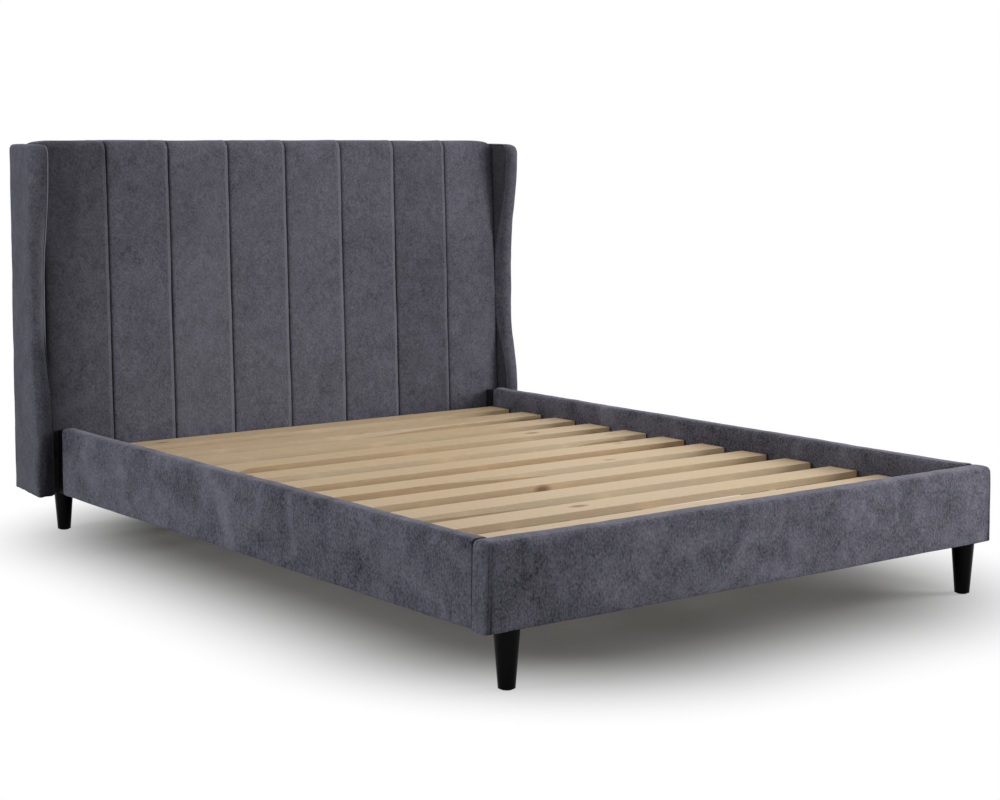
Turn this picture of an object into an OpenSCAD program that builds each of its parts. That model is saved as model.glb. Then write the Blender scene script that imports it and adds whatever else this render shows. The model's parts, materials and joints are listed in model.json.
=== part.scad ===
// Upholstered double bed frame with a channelled headboard between two padded wings.
// Millimetres, +Z up. The origin is on the floor under the middle of the bed. The
// footboard is towards -Y, the headboard towards +Y, and left is towards -X.

/* [Mattress space] */
// Width of the mattress
mattress_w = 1500; // [1350:10:1800]
// Length of the mattress
mattress_l = 2000; // [1900:10:2100]
// Clearance between the mattress and each side rail
side_gap = 5; // [3:1:15]
// Clearance between the mattress and the footboard
foot_gap = 5; // [3:1:15]
// Clearance between the mattress and the headboard, at the height of the slats
head_gap = 30; // [20:1:60]
// Depth of the slats' top face below the rails' top edge
deck_drop = 61; // [50:1:80]

/* [Side rails] */
// Height of the frame's underside above the floor
leg_h = 130; // [110:5:180]
// Height of the rails and the footboard
rail_h = 193; // [180:1:230]
// Thickness of the board inside each side rail
rail_core_t = 22; // [18:1:30]
// Padding on the outer face of a side rail
rail_pad_out = 13; // [8:1:20]
// Padding on the inner faces of the rails and the footboard
rail_pad_in = 10; // [6:1:16]
// Padding over the top edges of the rails and the footboard
rail_pad_top = 12; // [8:1:18]
// Radius of the padded edges
rail_edge_r = 11; // [6:1:16]
// Gap between the end of a rail's cover and the headboard
rail_end_gap = 41; // [20:1:60]
// Thickness of the lining round the bare end of a rail's board
sleeve_t = 1.5; // [1:0.5:3]

/* [Footboard] */
// Thickness of the board inside the footboard
foot_core_t = 27; // [18:1:35]
// Padding on the outer face of the footboard
foot_pad_out = 20; // [10:1:30]

/* [Headboard] */
// Height of the headboard above the floor
headboard_h = 1150; // [1000:10:1350]
// Depth from the front of the pad, at the height of the slats, to the back
headboard_depth = 162; // [140:1:200]
// Backward lean of the headboard's front
headboard_lean = 2; // [0:0.5:3]
// Thickness of the headboard's foam and fabric
pad_t = 28; // [20:1:40]
// Number of vertical channels
channels = 8; // [4:1:12]
// Depth of the sewn tucks between the channels
tuck_depth = 7; // [3:1:12]
// Radius of the pad's front top edge
pad_top_r = 30; // [15:1:40]
// Width over which the pad's top rounds down at each end
shoulder_w = 65; // [30:5:90]
// Thickness of the board behind the pad
facing_t = 6; // [4:1:12]
// Width of the posts at the headboard's ends
post_w = 45; // [40:1:60]
// Thickness of the ribs between the posts
rib_t = 18; // [12:1:25]
// Thickness of the headboard's top rail
top_rail_t = 25; // [18:1:40]
// Thickness of the sill under the headboard
sill_t = 22; // [20:1:30]
// Thickness of the rail that the bed's side rails are bolted to
bolt_rail_t = 25; // [20:1:30]
// Height of the rail that the bed's side rails are bolted to
bolt_rail_h = 105; // [102:1:115]
// Thickness of the rail across the headboard's back
back_rail_t = 22; // [15:1:30]
// Height of the rail across the headboard's back
back_rail_h = 70; // [50:5:100]
// Thickness of the dust cover on the headboard's back
dust_cover_t = 2; // [1:0.5:4]
// Radius of the pad's lower front edge
pad_foot_r = 10; // [6:1:14]
// Radius of the pad's back top edge
pad_back_r = 12; // [6:1:16]

/* [Wings] */
// Gap between a side rail's outer face and the wing's inner face, at the wing's front
wing_gap = 23; // [16:1:60]
// Thickness of a wing
wing_t = 51; // [36:1:60]
// Thickness of the board inside a wing
wing_core_t = 20; // [15:1:24]
// Padding on the outer face of a wing
wing_pad_out = 9; // [6:1:12]
// Padding over the front and top edges of a wing
wing_pad_edge = 12; // [8:1:18]
// Reach of a wing's foot in front of the pad
wing_reach = 45; // [20:1:90]
// Outward splay of the wings towards the front
wing_splay = 6.6; // [0:0.2:9]
// Height by which the wings stay below the headboard's top
wing_drop = 12; // [5:1:40]
// Depth of the waist in a wing's front edge
wing_waist = 44; // [0:1:55]
// Set-back of a wing's front edge at the top, against its foot
wing_top_set = 3; // [0:1:40]
// Radius of a wing's top front corner, seen from the side
wing_corner_r = 35; // [15:1:60]
// Radius of the padded edges of a wing
wing_edge_r = 13; // [8:1:17]
// Draw-in of a wing's cover at its foot
wing_foot_r = 4; // [2:1:6]
// Height of the waist's lower end, as a share of the wing's height
waist_share = 0.47; // [0.4:0.01:0.6]
// Height of the straight stretch in the waist
waist_flat = 130; // [20:5:150]
// Distance from the headboard's back to the bolts that hold the wings
wing_bolt_back = 50; // [40:1:60]

/* [Slats and centre support] */
// Number of slats
slats = 12; // [8:1:12]
// Width of a slat
slat_w = 95; // [60:1:110]
// Thickness of a slat
slat_t = 18; // [14:1:24]
// Clearance between a slat's end and the side rail
slat_end_gap = 7; // [3:1:12]
// Distance from the footboard to the first slat
slat_start = 9; // [5:1:20]
// Width of a slat ledge
ledge_w = 28; // [22:1:40]
// Height of a slat ledge
ledge_h = 30; // [25:1:32]
// Width of the webbing straps
strap_w = 25; // [15:1:40]
// Thickness of the webbing straps
strap_t = 1.2; // [1:0.1:2]
// Distance from the bed's middle to each strap
strap_x = 430; // [250:10:600]
// Distance from a strap's end to the edge of the last slat
strap_inset = 5; // [2:1:15]
// Width of the centre beam
beam_w = 44; // [34:1:60]
// Height of the centre beam
beam_h = 70; // [60:1:80]
// Height of the hangers' cheeks beside the beam
hanger_cheek_h = 45; // [35:1:55]
// Length of the hangers' shelf under the beam
hanger_reach = 40; // [30:1:60]
// Width of the hangers' flanges on each side of the beam
hanger_flange = 22; // [18:1:30]
// Height of the hangers' screws above the beam's underside
hanger_screw_lift = 20; // [15:1:30]
// Length of the plates on the centre legs
centre_plate_l = 84; // [76:1:110]
// Distance from a centre leg's middle to its screws
centre_screw_y = 31; // [26:1:33]
// Outer diameter of the centre legs' tube
tube_d = 32; // [28:1:40]
// Wall of the centre legs' tube
tube_wall = 1.5; // [1:0.5:3]
// Height of the tube's lower end above the floor
tube_floor_gap = 28; // [26:1:40]
// Length of the plug in a centre leg's tube
plug_h = 20; // [15:1:30]
// Thickness of the plug's lip under the tube
plug_lip = 2; // [1:0.5:3]
// Thickness of the leveller's foot pad
leveller_pad_h = 12; // [8:1:13]
// Diameter of the leveller's foot pad
leveller_pad_d = 40; // [30:1:50]
// Length of the leveller's spindle
leveller_l = 62; // [50:1:80]
// Height of the spindle's lower end above the floor
spindle_z = 4; // [2:1:6]

/* [Legs] */
// Diameter of a leg at the top
leg_top_d = 58; // [40:1:58]
// Diameter of a leg at the bottom
leg_bottom_d = 38; // [25:1:42]
// Distance from a side rail's outer face to the legs' centre lines
leg_inset = 70; // [50:1:100]
// Distance from the footboard's front to the foot legs' centre lines
foot_leg_y = 29; // [28:1:33]
// Distance from the headboard's back to the head legs' centre lines
head_leg_y = 66; // [40:1:90]
// Thickness of the glides under the legs
glide_t = 3; // [2:1:6]
// Diameter of the glides under the legs
glide_d = 26; // [18:1:30]
// Depth of the hanger bolts in the legs
leg_bolt_in = 30; // [20:1:50]

/* [Steel and fasteners] */
// Thickness of the brackets and hangers
steel_t = 3; // [2:0.5:4]
// Width of a corner bracket's flanges
bracket_w = 62; // [50:1:90]
// Height of a corner bracket
bracket_h = 70; // [60:1:72]
// Height of a corner bracket above the frame's underside
bracket_lift = 12; // [8:1:14]
// Diameter of the bolts
bolt_d = 8; // [6:1:8]
// Diameter of the bolts' heads
bolt_head_d = 14; // [13:1:18]
// Height of the bolts' heads
bolt_head_h = 4.5; // [3:0.5:6]
// Radial clearance round a bolt or a screw
hole_gap = 0.3; // [0.2:0.1:1]
// Radial clearance of a leveller's thread in its plug
thread_gap = 0.05; // [0.02:0.01:0.1]
// Outer diameter of a threaded insert
insert_d = 12; // [11:1:13]
// Length of a threaded insert
insert_l = 13; // [10:1:14]
// Diameter of the wood screws
screw_d = 5; // [4:0.5:6]
// Diameter of the wood screws' heads
screw_head_d = 10; // [8:1:12]
// Height of the wood screws' heads
screw_head_h = 3; // [2:0.5:4]
// Depth of the wood screws in the boards
screw_grip = 16; // [12:1:17]
// Number of screws in each ledge
ledge_screws = 7; // [4:1:10]
// Distance from a ledge's end to its first screw
ledge_screw_end = 60; // [30:5:100]

/* [Hidden] */
// Clearance of pieces that seat on a curved or slanted face
fit = 0.3;
$fn = 48;

// Places across the bed, from its middle
rail_t = rail_pad_out + rail_core_t + rail_pad_in;
inner_x = mattress_w / 2 + side_gap;
core_in_x = inner_x + rail_pad_in;
core_out_x = core_in_x + rail_core_t;
rail_x = inner_x + rail_t;
leg_x = rail_x - leg_inset;
wing_foot_x = rail_x + wing_gap + wing_t;

// Places along the bed
foot_t = foot_pad_out + foot_core_t + rail_pad_in;
overall_l = foot_t + foot_gap + mattress_l + head_gap + headboard_depth;
foot_y = -overall_l / 2;
back_y = overall_l / 2;
deck_y = foot_y + foot_t;
panel_y = back_y - headboard_depth;
wing_y = panel_y - wing_reach;
frame_back_y = back_y - dust_cover_t;

// Heights
rail_top = leg_h + rail_h;
core_top = rail_top - rail_pad_top;
slat_top = rail_top - deck_drop;
slat_z = slat_top - slat_t;
ledge_z = slat_z - ledge_h;
beam_z = slat_z - beam_h;
bracket_z = leg_h + bracket_lift;
pad_z = leg_h + bolt_rail_h + 1;
top_rail_z = headboard_h - pad_t - top_rail_t;
frame_top = headboard_h - pad_t;
back_rail_z = (leg_h + frame_top) / 2;
wing_top = headboard_h - wing_drop;

// Front faces of the headboard's pad, and of the frame behind the facing board
function panel_front(z) = panel_y + (z - slat_top) * tan(headboard_lean);
function frame_front(z) = panel_front(z) + pad_t + facing_t;
bolt_y = panel_front(pad_z);
bolt_back_y = bolt_y + bolt_rail_t;
rail_end_y = bolt_y - rail_end_gap;

// Outer face of a wing, and the side of the headboard's frame against its inner face
function wing_x(y) = wing_foot_x - (y - wing_y) * tan(wing_splay);
function head_side_x(y) = wing_x(y) - wing_t - fit;

// Front edge of a wing: full depth at the rails, drawn in to the waist, out again on top
waist_low_z = leg_h + waist_share * (wing_top - leg_h);
waist_high_z = waist_low_z + waist_flat;
lip_z = wing_top - 1.4 * wing_corner_r;
function smooth(t) = (1 - cos(180 * min(1, max(0, t)))) / 2;
function wing_set(z) = z < waist_high_z
    ? wing_waist * smooth((z - rail_top) / (waist_low_z - rail_top))
    : wing_waist - (wing_waist - wing_top_set) * smooth((z - waist_high_z) / (lip_z - waist_high_z));
function corner_set(z, top, r) = z > top - r ? r - sqrt(max(0, r * r - pow(z - top + r, 2))) : 0;
wing_front_zs = concat(
    [leg_h, rail_top],
    [for (i = [1 : 9]) rail_top + (waist_low_z - rail_top) * i / 9],
    [for (i = [0 : 8]) waist_high_z + (lip_z - waist_high_z) * i / 8]
);

// Bolts, screws and their holes
bracket_bolt_zs = [bracket_z + 0.23 * bracket_h, bracket_z + 0.77 * bracket_h];
wing_bolt_zs = [leg_h + 0.13 * headboard_h, leg_h + 0.42 * headboard_h, leg_h + 0.72 * headboard_h];
wing_bolt_y = back_y - wing_bolt_back;
wing_insert_x = wing_x(wing_bolt_y) - wing_pad_out - wing_core_t + insert_d * tan(wing_splay);
wing_bolt_tip_x = wing_insert_x + insert_l;
post_in_x = head_side_x(back_y) - post_w;
rib_x = post_in_x * 0.36;
ledge_screw_z = ledge_z + ledge_h / 2;
ledge_start_y = deck_y + fit;
ledge_end_y = rail_end_y;
ledge_screw_ys = [for (i = [0 : ledge_screws - 1])
    ledge_start_y + ledge_screw_end
        + (ledge_end_y - ledge_start_y - 2 * ledge_screw_end) * i / (ledge_screws - 1)];
hanger_w = beam_w + 2 * steel_t + 1;
hanger_plate_w = hanger_w + 2 * hanger_flange;
hanger_screw_x = (hanger_w + hanger_flange) / 2;
hanger_screw_z = beam_z + hanger_screw_lift;
centre_leg_ys = [for (i = [1, 2]) deck_y + (bolt_y - deck_y) * i / 3];
tube_r = tube_d / 2;

// Slats share the clear length between the footboard and the rails' ends
slat_run = ledge_end_y - deck_y - 2 * slat_start - slat_w;
slat_l = 2 * (inner_x - slat_end_gap);
function slat_y(i) = deck_y + slat_start + slat_w / 2 + slat_run * i / (slats - 1);
function slat_name(i) = str("slat_", i < 9 ? "0" : "", i + 1);

// Colours
fabric_c = "#4b4d57";
lining_c = "#17171a";
black_c = "#1b1a19";
pine_c = "#d8b98a";
ply_c = "#c39a63";
board_c = "#a9845a";
gloss_c = "#0c0c0d";
steel_c = "#26272a";
zinc_c = "#b9bcc0";
plastic_c = "#1d1d1f";
webbing_c = "#d9d4c6";

// Both mirror images of a piece
module both_sides() {
    children();
    mirror([1, 0, 0]) children();
}

// A bar from x0 to x1 with the given outline in Y and Z
module across(x0, x1, outline) {
    translate([x0, 0, 0]) rotate([90, 0, 90]) linear_extrude(x1 - x0) polygon(outline);
}

// A rectangle with round corners, standing on its lower left corner
module round_rect(w, h, r) {
    translate([r, 0]) square([w - 2 * r, h]);
    translate([0, r]) square([w, h - 2 * r]);
    for (x = [r, w - r], y = [r, h - r]) translate([x, y]) circle(r);
}

// A straight hole or shank between two points along X or Y
module rod_x(x0, x1, y, z, r) {
    translate([min(x0, x1), y, z]) rotate([0, 90, 0]) cylinder(h = abs(x1 - x0), r = r);
}
module rod_y(x, y0, y1, z, r) {
    translate([x, min(y0, y1), z]) rotate([-90, 0, 0]) cylinder(h = abs(y1 - y0), r = r);
}

// Centres of the corner bolts, on the right-hand side
side_bolt_ys = [deck_y + bracket_w / 2 + 4, rail_end_y - bracket_w / 2];
end_bolt_x = inner_x - bracket_w / 2 - 4;

// Headboard

// The plan of a headboard member that runs from one wing to the other
module head_plan(y0, y1) {
    polygon([
        [-head_side_x(y0), y0], [head_side_x(y0), y0],
        [head_side_x(y1), y1], [-head_side_x(y1), y1]
    ]);
}

// The upright outline of the posts and ribs, behind the facing board
upright = [
    [bolt_back_y, leg_h + sill_t], [bolt_back_y, leg_h + bolt_rail_h],
    [frame_front(leg_h + bolt_rail_h), leg_h + bolt_rail_h], [frame_front(top_rail_z), top_rail_z],
    [frame_back_y, top_rail_z], [frame_back_y, leg_h + sill_t]
];

// Pad section, from its lower back edge round the front and over the top to the back edge.
// Each point is [y, z, share of the tuck depth, share of the shoulder's drop].
pad_arc = 5;
pad_section = concat(
    [[panel_front(pad_z) + pad_t, pad_z, 0, 0]],
    [for (i = [0 : 3]) [
        panel_front(pad_z) + pad_foot_r * (1 - sin(30 * i)),
        pad_z + pad_foot_r * (1 - cos(30 * i)), i / 3, 0
    ]],
    [[panel_front(headboard_h - 120), headboard_h - 120, 1, 0]],
    [for (i = [0 : pad_arc]) let (a = 90 * i / pad_arc) [
        panel_front(headboard_h - pad_top_r) + pad_top_r * (1 - cos(a)),
        headboard_h - pad_top_r * (1 - sin(a)), 1 - 0.5 * i / pad_arc, 0.4 + 0.6 * i / pad_arc
    ]],
    [for (i = [0 : 3]) [
        back_y - pad_back_r * (1 - sin(30 * i)),
        headboard_h - pad_back_r * (1 - cos(30 * i)), 0.3 - 0.1 * i, 1 - i / 3
    ]],
    [[back_y, frame_top, 0, 0]],
    [[panel_front(frame_top) + pad_t, frame_top, 0, 0]]
);
pad_n = len(pad_section);

// Where the pad is sampled across each channel, as a share of the channel's width
channel_steps = [0, 0.035, 0.13, 0.34, 0.66, 0.87, 0.965];
pad_columns = concat(
    [for (c = [0 : channels - 1], t = channel_steps) [c + t, pow(abs(2 * t - 1), 5)]],
    [[channels, 1]]
);
channel_w = 2 * head_side_x(panel_front(headboard_h)) / channels;

// Drop of the pad's top near its ends
function shoulder(x) = let (t = (abs(x) - channels * channel_w / 2 + shoulder_w) / shoulder_w)
    t > 0 ? (wing_drop - 1) * (1 - sqrt(max(0, 1 - t * t))) : 0;

// A point of the pad's surface: the outer channels take up the splay of the wings
function pad_point(column, p) =
    let (x = (column[0] - channels / 2) * channel_w)
    let (last = (channels / 2 - 1) * channel_w)
    let (y = p[0] + p[2] * tuck_depth * column[1])
    let (t = max(0, abs(x) - last) / channel_w)
    [
        t > 0 ? sign(x) * (last + t * (head_side_x(y) - last)) : x,
        y,
        p[1] - p[3] * shoulder(x) - (p[2] < 1 ? p[2] * p[3] * tuck_depth * column[1] * 0.6 : 0)
    ];

// Triangles of a tube of rings, closed by fans at both ends from the ring's last point
function tube_faces(rings, n) = concat(
    [for (i = [0 : rings - 2], k = [0 : n - 1]) each [
        [i * n + k, (i + 1) * n + (k + 1) % n, (i + 1) * n + k],
        [i * n + k, i * n + (k + 1) % n, (i + 1) * n + (k + 1) % n]
    ]],
    [for (k = [0 : n - 3]) [n - 1, k + 1, k]],
    [for (k = [0 : n - 3]) [rings * n - 1, (rings - 1) * n + k, (rings - 1) * n + k + 1]]
);

module headboard_pad() {
    color(fabric_c) polyhedron(
        points = [for (column = pad_columns, p = pad_section) pad_point(column, p)],
        faces = tube_faces(len(pad_columns), pad_n)
    );
}

module headboard_facing_board() {
    half_w = head_side_x(frame_front(frame_top));
    color(board_c) across(-half_w, half_w, [
        [panel_front(pad_z) + pad_t, pad_z], [panel_front(frame_top) + pad_t, frame_top],
        [frame_front(frame_top), frame_top], [frame_front(pad_z), pad_z]
    ]);
}

module headboard_bolt_rail() {
    color(black_c) difference() {
        translate([0, 0, leg_h]) linear_extrude(bolt_rail_h) head_plan(bolt_y, bolt_back_y);
        both_sides() for (z = bracket_bolt_zs) insert_hole_y(end_bolt_x, bolt_y, 1, z);
        both_sides() rod_y(hanger_screw_x, bolt_y, bolt_y + screw_grip, hanger_screw_z, screw_d / 2);
    }
}

module headboard_sill() {
    color(pine_c) difference() {
        translate([0, 0, leg_h]) linear_extrude(sill_t) head_plan(bolt_back_y, frame_back_y);
        both_sides() leg_hole(back_y - head_leg_y);
    }
}

module headboard_top_rail() {
    color(pine_c) intersection() {
        translate([0, 0, top_rail_z]) linear_extrude(top_rail_t) head_plan(bolt_y, frame_back_y);
        across(-wing_foot_x, wing_foot_x, [
            [frame_front(top_rail_z), top_rail_z], [frame_front(frame_top), frame_top],
            [frame_back_y, frame_top], [frame_back_y, top_rail_z]
        ]);
    }
}

module headboard_back_rail() {
    color(pine_c) translate([-post_in_x, frame_back_y - back_rail_t, back_rail_z])
        cube([2 * post_in_x, back_rail_t, back_rail_h]);
}

module headboard_post() {
    difference() {
        intersection() {
            linear_extrude(headboard_h) polygon([
                [post_in_x, bolt_y], [head_side_x(bolt_y), bolt_y],
                [head_side_x(frame_back_y), frame_back_y], [post_in_x, frame_back_y]
            ]);
            across(0, wing_foot_x, upright);
        }
        for (z = wing_bolt_zs) rod_x(post_in_x, wing_foot_x, wing_bolt_y, z, bolt_d / 2 + hole_gap);
    }
}

module headboard_rib() {
    difference() {
        across(rib_x - rib_t / 2, rib_x + rib_t / 2, upright);
        translate([rib_x - rib_t, frame_back_y - back_rail_t, back_rail_z])
            cube([2 * rib_t, back_rail_t + 1, back_rail_h]);
    }
}

module headboard_dust_cover() {
    half_w = head_side_x(back_y);
    color(lining_c) translate([-half_w, frame_back_y, leg_h])
        cube([2 * half_w, dust_cover_t, frame_top - leg_h]);
}

// Wings

// The plan of a slice of the right-hand wing, between two depths from its outer face
module wing_plan(depth0, depth1, y0, y1) {
    polygon([
        [wing_x(y0) - depth1, y0], [wing_x(y0) - depth0, y0],
        [wing_x(y1) - depth0, y1], [wing_x(y1) - depth1, y1]
    ]);
}

// The board inside the right-hand wing, cut to the front edge's curve. The space for it in
// the cover is open below and behind, so its outline runs past the cover there. Both are cut
// from one slanted slab, so that their slanted faces are the same.
wing_slab_past = 1;
wing_core_top = wing_top - wing_pad_edge;
wing_core_r = wing_corner_r - wing_pad_edge;
function wing_core_outline(past) = concat(
    [[wing_y + wing_pad_edge, leg_h - past]],
    [for (i = [1 : len(wing_front_zs) - 1]) let (z = wing_front_zs[i])
        [wing_y + wing_set(z) + wing_pad_edge, z]],
    [for (i = [1 : 6]) let (z = wing_core_top - wing_core_r * (1 - sin(15 * i)))
        [wing_y + wing_set(z) + wing_pad_edge + corner_set(z, wing_core_top, wing_core_r), z]],
    [[back_y + past, wing_core_top], [back_y + past, leg_h - past]]
);

module wing_board(past) {
    intersection() {
        linear_extrude(headboard_h)
            wing_plan(wing_pad_out, wing_pad_out + wing_core_t, wing_y, back_y + wing_slab_past);
        across(0, wing_foot_x, wing_core_outline(past));
    }
}

module wing_core() {
    difference() {
        wing_board(0);
        for (z = wing_bolt_zs) rod_x(0, wing_bolt_tip_x, wing_bolt_y, z, insert_d / 2);
    }
}

// The padded outside of the right-hand wing as rings, drawn in round the top and the foot
wing_ring_levels = concat(
    [[leg_h, wing_foot_r], [leg_h + wing_foot_r, 0]],
    [for (i = [1 : len(wing_front_zs) - 1]) [wing_front_zs[i], 0]],
    [for (i = [0 : 5]) [wing_top - wing_edge_r * (1 - sin(18 * i)), wing_edge_r * (1 - cos(18 * i))]]
);

// Corners of a ring: [depth, y, radius, first angle, steps]
function ring_arc(depth, y, r, a0, steps) = [for (i = [0 : steps])
    let (a = a0 + 90 * i / steps) [depth + r * cos(a), y + r * sin(a)]];

// One ring as [depth, y] pairs, counterclockwise in depth and y
function wing_ring(z, inset) =
    let (front = wing_y + wing_set(z) + corner_set(z, wing_top, wing_corner_r) + inset * 0.4)
    let (r = max(2, wing_edge_r - inset * 0.7))
    concat(
        ring_arc(wing_t - inset - 2, back_y - 2, 2, 0, 1),
        ring_arc(inset + 2, back_y - 2, 2, 90, 1),
        ring_arc(inset + r, front + r, r, 180, 4),
        ring_arc(wing_t - inset - r, front + r, r, 270, 4)
    );
wing_ring_n = len(wing_ring(leg_h, 0));

module wing_outside() {
    polyhedron(
        points = [for (level = wing_ring_levels, p = wing_ring(level[0], level[1]))
            [wing_x(p[1]) - p[0], p[1], level[0]]],
        faces = tube_faces(len(wing_ring_levels), wing_ring_n)
    );
}

module wing_cover() {
    difference() {
        wing_outside();
        wing_board(wing_slab_past);
        for (z = wing_bolt_zs)
            rod_x(0, wing_insert_x, wing_bolt_y, z, bolt_d / 2 + hole_gap);
    }
}

// Side rails and footboard

// A hole for a threaded insert, with room for the bolt's tip behind it
module insert_hole_x(x, dir, y, z) {
    rod_x(x, x + dir * insert_l, y, z, insert_d / 2);
}
module insert_hole_y(x, y, dir, z) {
    rod_y(x, y, y + dir * insert_l, z, insert_d / 2);
}

// The hole for a leg's insert and bolt, up into the frame's underside
module leg_hole(y) {
    translate([leg_x, y, leg_h]) cylinder(h = insert_l, r = insert_d / 2);
}

module side_rail_core() {
    difference() {
        translate([core_in_x, deck_y + fit, leg_h])
            cube([rail_core_t, bolt_y - deck_y - 2 * fit, core_top - leg_h]);
        for (y = side_bolt_ys, z = bracket_bolt_zs) insert_hole_x(core_in_x, 1, y, z);
        for (y = ledge_screw_ys)
            rod_x(core_in_x, core_in_x + screw_grip, y, ledge_screw_z, screw_d / 2);
    }
}

module side_rail_cover() {
    run = rail_end_y - deck_y - fit;
    difference() {
        intersection() {
            translate([inner_x, deck_y + fit + run, leg_h])
                rotate([90, 0, 0]) linear_extrude(run) round_rect(rail_t, rail_h, rail_edge_r);
            translate([inner_x, rail_end_y, leg_h]) rotate([0, 0, -90])
                linear_extrude(rail_h) round_end(run, rail_t, rail_edge_r);
        }
        translate([core_in_x, deck_y, leg_h - 1])
            cube([rail_core_t, rail_end_y - deck_y + 1, core_top - leg_h + 1]);
        for (y = side_bolt_ys, z = bracket_bolt_zs)
            rod_x(inner_x - 1, core_in_x, y, z, bolt_d / 2 + hole_gap);
        for (y = ledge_screw_ys)
            rod_x(inner_x - 1, core_in_x, y, ledge_screw_z, screw_d / 2 + hole_gap);
    }
}

// A rectangle with two round corners at its left end
module round_end(w, h, r) {
    translate([r, 0]) square([w - r, h]);
    translate([0, r]) square([w, h - 2 * r]);
    for (y = [r, h - r]) translate([r, y]) circle(r);
}

module rail_end_sleeve() {
    difference() {
        translate([core_in_x - sleeve_t, rail_end_y, leg_h])
            cube([rail_core_t + 2 * sleeve_t, bolt_y - rail_end_y - fit, core_top + sleeve_t - leg_h]);
        translate([core_in_x, rail_end_y - 1, leg_h - 1])
            cube([rail_core_t, rail_end_gap + 2, core_top - leg_h + 1]);
    }
}

module rail_end_sleeves() {
    color(lining_c) both_sides() rail_end_sleeve();
}

module footboard_core() {
    color(pine_c) difference() {
        translate([-core_out_x, foot_y + foot_pad_out, leg_h])
            cube([2 * core_out_x, foot_core_t, core_top - leg_h]);
        both_sides() for (z = bracket_bolt_zs)
            insert_hole_y(end_bolt_x, deck_y - rail_pad_in, -1, z);
        both_sides() rod_y(hanger_screw_x, deck_y - rail_pad_in, deck_y - rail_pad_in - screw_grip,
            hanger_screw_z, screw_d / 2);
        both_sides() leg_hole(foot_y + foot_leg_y);
    }
}

module footboard_cover() {
    color(fabric_c) difference() {
        translate([-rail_x, foot_y, leg_h]) intersection() {
            rotate([90, 0, 90]) linear_extrude(2 * rail_x) round_rect(foot_t, rail_h, rail_edge_r);
            linear_extrude(rail_h) round_front(2 * rail_x, foot_t, rail_edge_r);
        }
        translate([-core_out_x, foot_y + foot_pad_out, leg_h - 1])
            cube([2 * core_out_x, foot_core_t, core_top - leg_h + 1]);
        both_sides() for (z = bracket_bolt_zs)
            rod_y(end_bolt_x, deck_y - rail_pad_in, deck_y + 1, z, bolt_d / 2 + hole_gap);
        both_sides() rod_y(hanger_screw_x, deck_y - rail_pad_in, deck_y + 1,
            hanger_screw_z, screw_d / 2 + hole_gap);
    }
}

// A rectangle with two round corners along its lower edge
module round_front(w, h, r) {
    translate([r, 0]) square([w - 2 * r, h]);
    translate([0, r]) square([w, h - r]);
    for (x = [r, w - r]) translate([x, r]) circle(r);
}

// Corner brackets and bolts

// A right-hand angle bracket: one flange on the rail, one on the footboard or headboard
module corner_bracket(end_y, dir, side_l) {
    y0 = dir > 0 ? end_y : end_y - side_l;
    difference() {
        union() {
            translate([inner_x - steel_t, y0, bracket_z]) cube([steel_t, side_l, bracket_h]);
            translate([inner_x - bracket_w, dir > 0 ? end_y : end_y - steel_t, bracket_z])
                cube([bracket_w, steel_t, bracket_h]);
        }
        for (y = side_bolt_ys, z = bracket_bolt_zs)
            rod_x(inner_x - steel_t - 1, inner_x + 1, y, z, bolt_d / 2 + hole_gap);
        for (z = bracket_bolt_zs)
            rod_y(end_bolt_x, end_y - steel_t - 1, end_y + steel_t + 1, z, bolt_d / 2 + hole_gap);
    }
}

module corner_bracket_foot() {
    color(steel_c) corner_bracket(deck_y, 1, bracket_w);
}

module corner_bracket_head() {
    color(steel_c) corner_bracket(bolt_y, -1, rail_end_gap + bracket_w);
}

// A bolt along X: its head's seat, the direction of its shank, and its tip
module bolt_x(seat, tip, y, z) {
    dir = sign(tip - seat);
    rod_x(seat, tip, y, z, bolt_d / 2);
    rod_x(seat - dir * bolt_head_h, seat, y, z, bolt_head_d / 2);
}

module bolt_y_way(x, seat, tip, z) {
    dir = sign(tip - seat);
    rod_y(x, seat, tip, z, bolt_d / 2);
    rod_y(x, seat - dir * bolt_head_h, seat, z, bolt_head_d / 2);
}

module frame_bolts() {
    color(zinc_c) both_sides() {
        for (z = bracket_bolt_zs) {
            for (y = side_bolt_ys) bolt_x(inner_x - steel_t, core_in_x + insert_l, y, z);
            bolt_y_way(end_bolt_x, deck_y + steel_t, deck_y - rail_pad_in - insert_l, z);
            bolt_y_way(end_bolt_x, bolt_y - steel_t, bolt_y + insert_l, z);
        }
        for (z = wing_bolt_zs) bolt_x(post_in_x, wing_bolt_tip_x, wing_bolt_y, z);
    }
}

// A threaded insert: a sleeve with the bolt's bore
module insert_sleeve() {
    difference() {
        cylinder(h = insert_l, r = insert_d / 2);
        translate([0, 0, -1]) cylinder(h = insert_l + 2, r = bolt_d / 2);
    }
}

module threaded_inserts() {
    color(zinc_c) both_sides() {
        for (z = bracket_bolt_zs) {
            for (y = side_bolt_ys)
                translate([core_in_x, y, z]) rotate([0, 90, 0]) insert_sleeve();
            translate([end_bolt_x, deck_y - rail_pad_in, z]) rotate([90, 0, 0]) insert_sleeve();
            translate([end_bolt_x, bolt_y, z]) rotate([-90, 0, 0]) insert_sleeve();
        }
        for (z = wing_bolt_zs)
            translate([wing_insert_x, wing_bolt_y, z]) rotate([0, 90, 0]) insert_sleeve();
        for (y = [foot_y + foot_leg_y, back_y - head_leg_y])
            translate([leg_x, y, leg_h]) insert_sleeve();
    }
}

// Slats, ledges and straps

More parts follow.
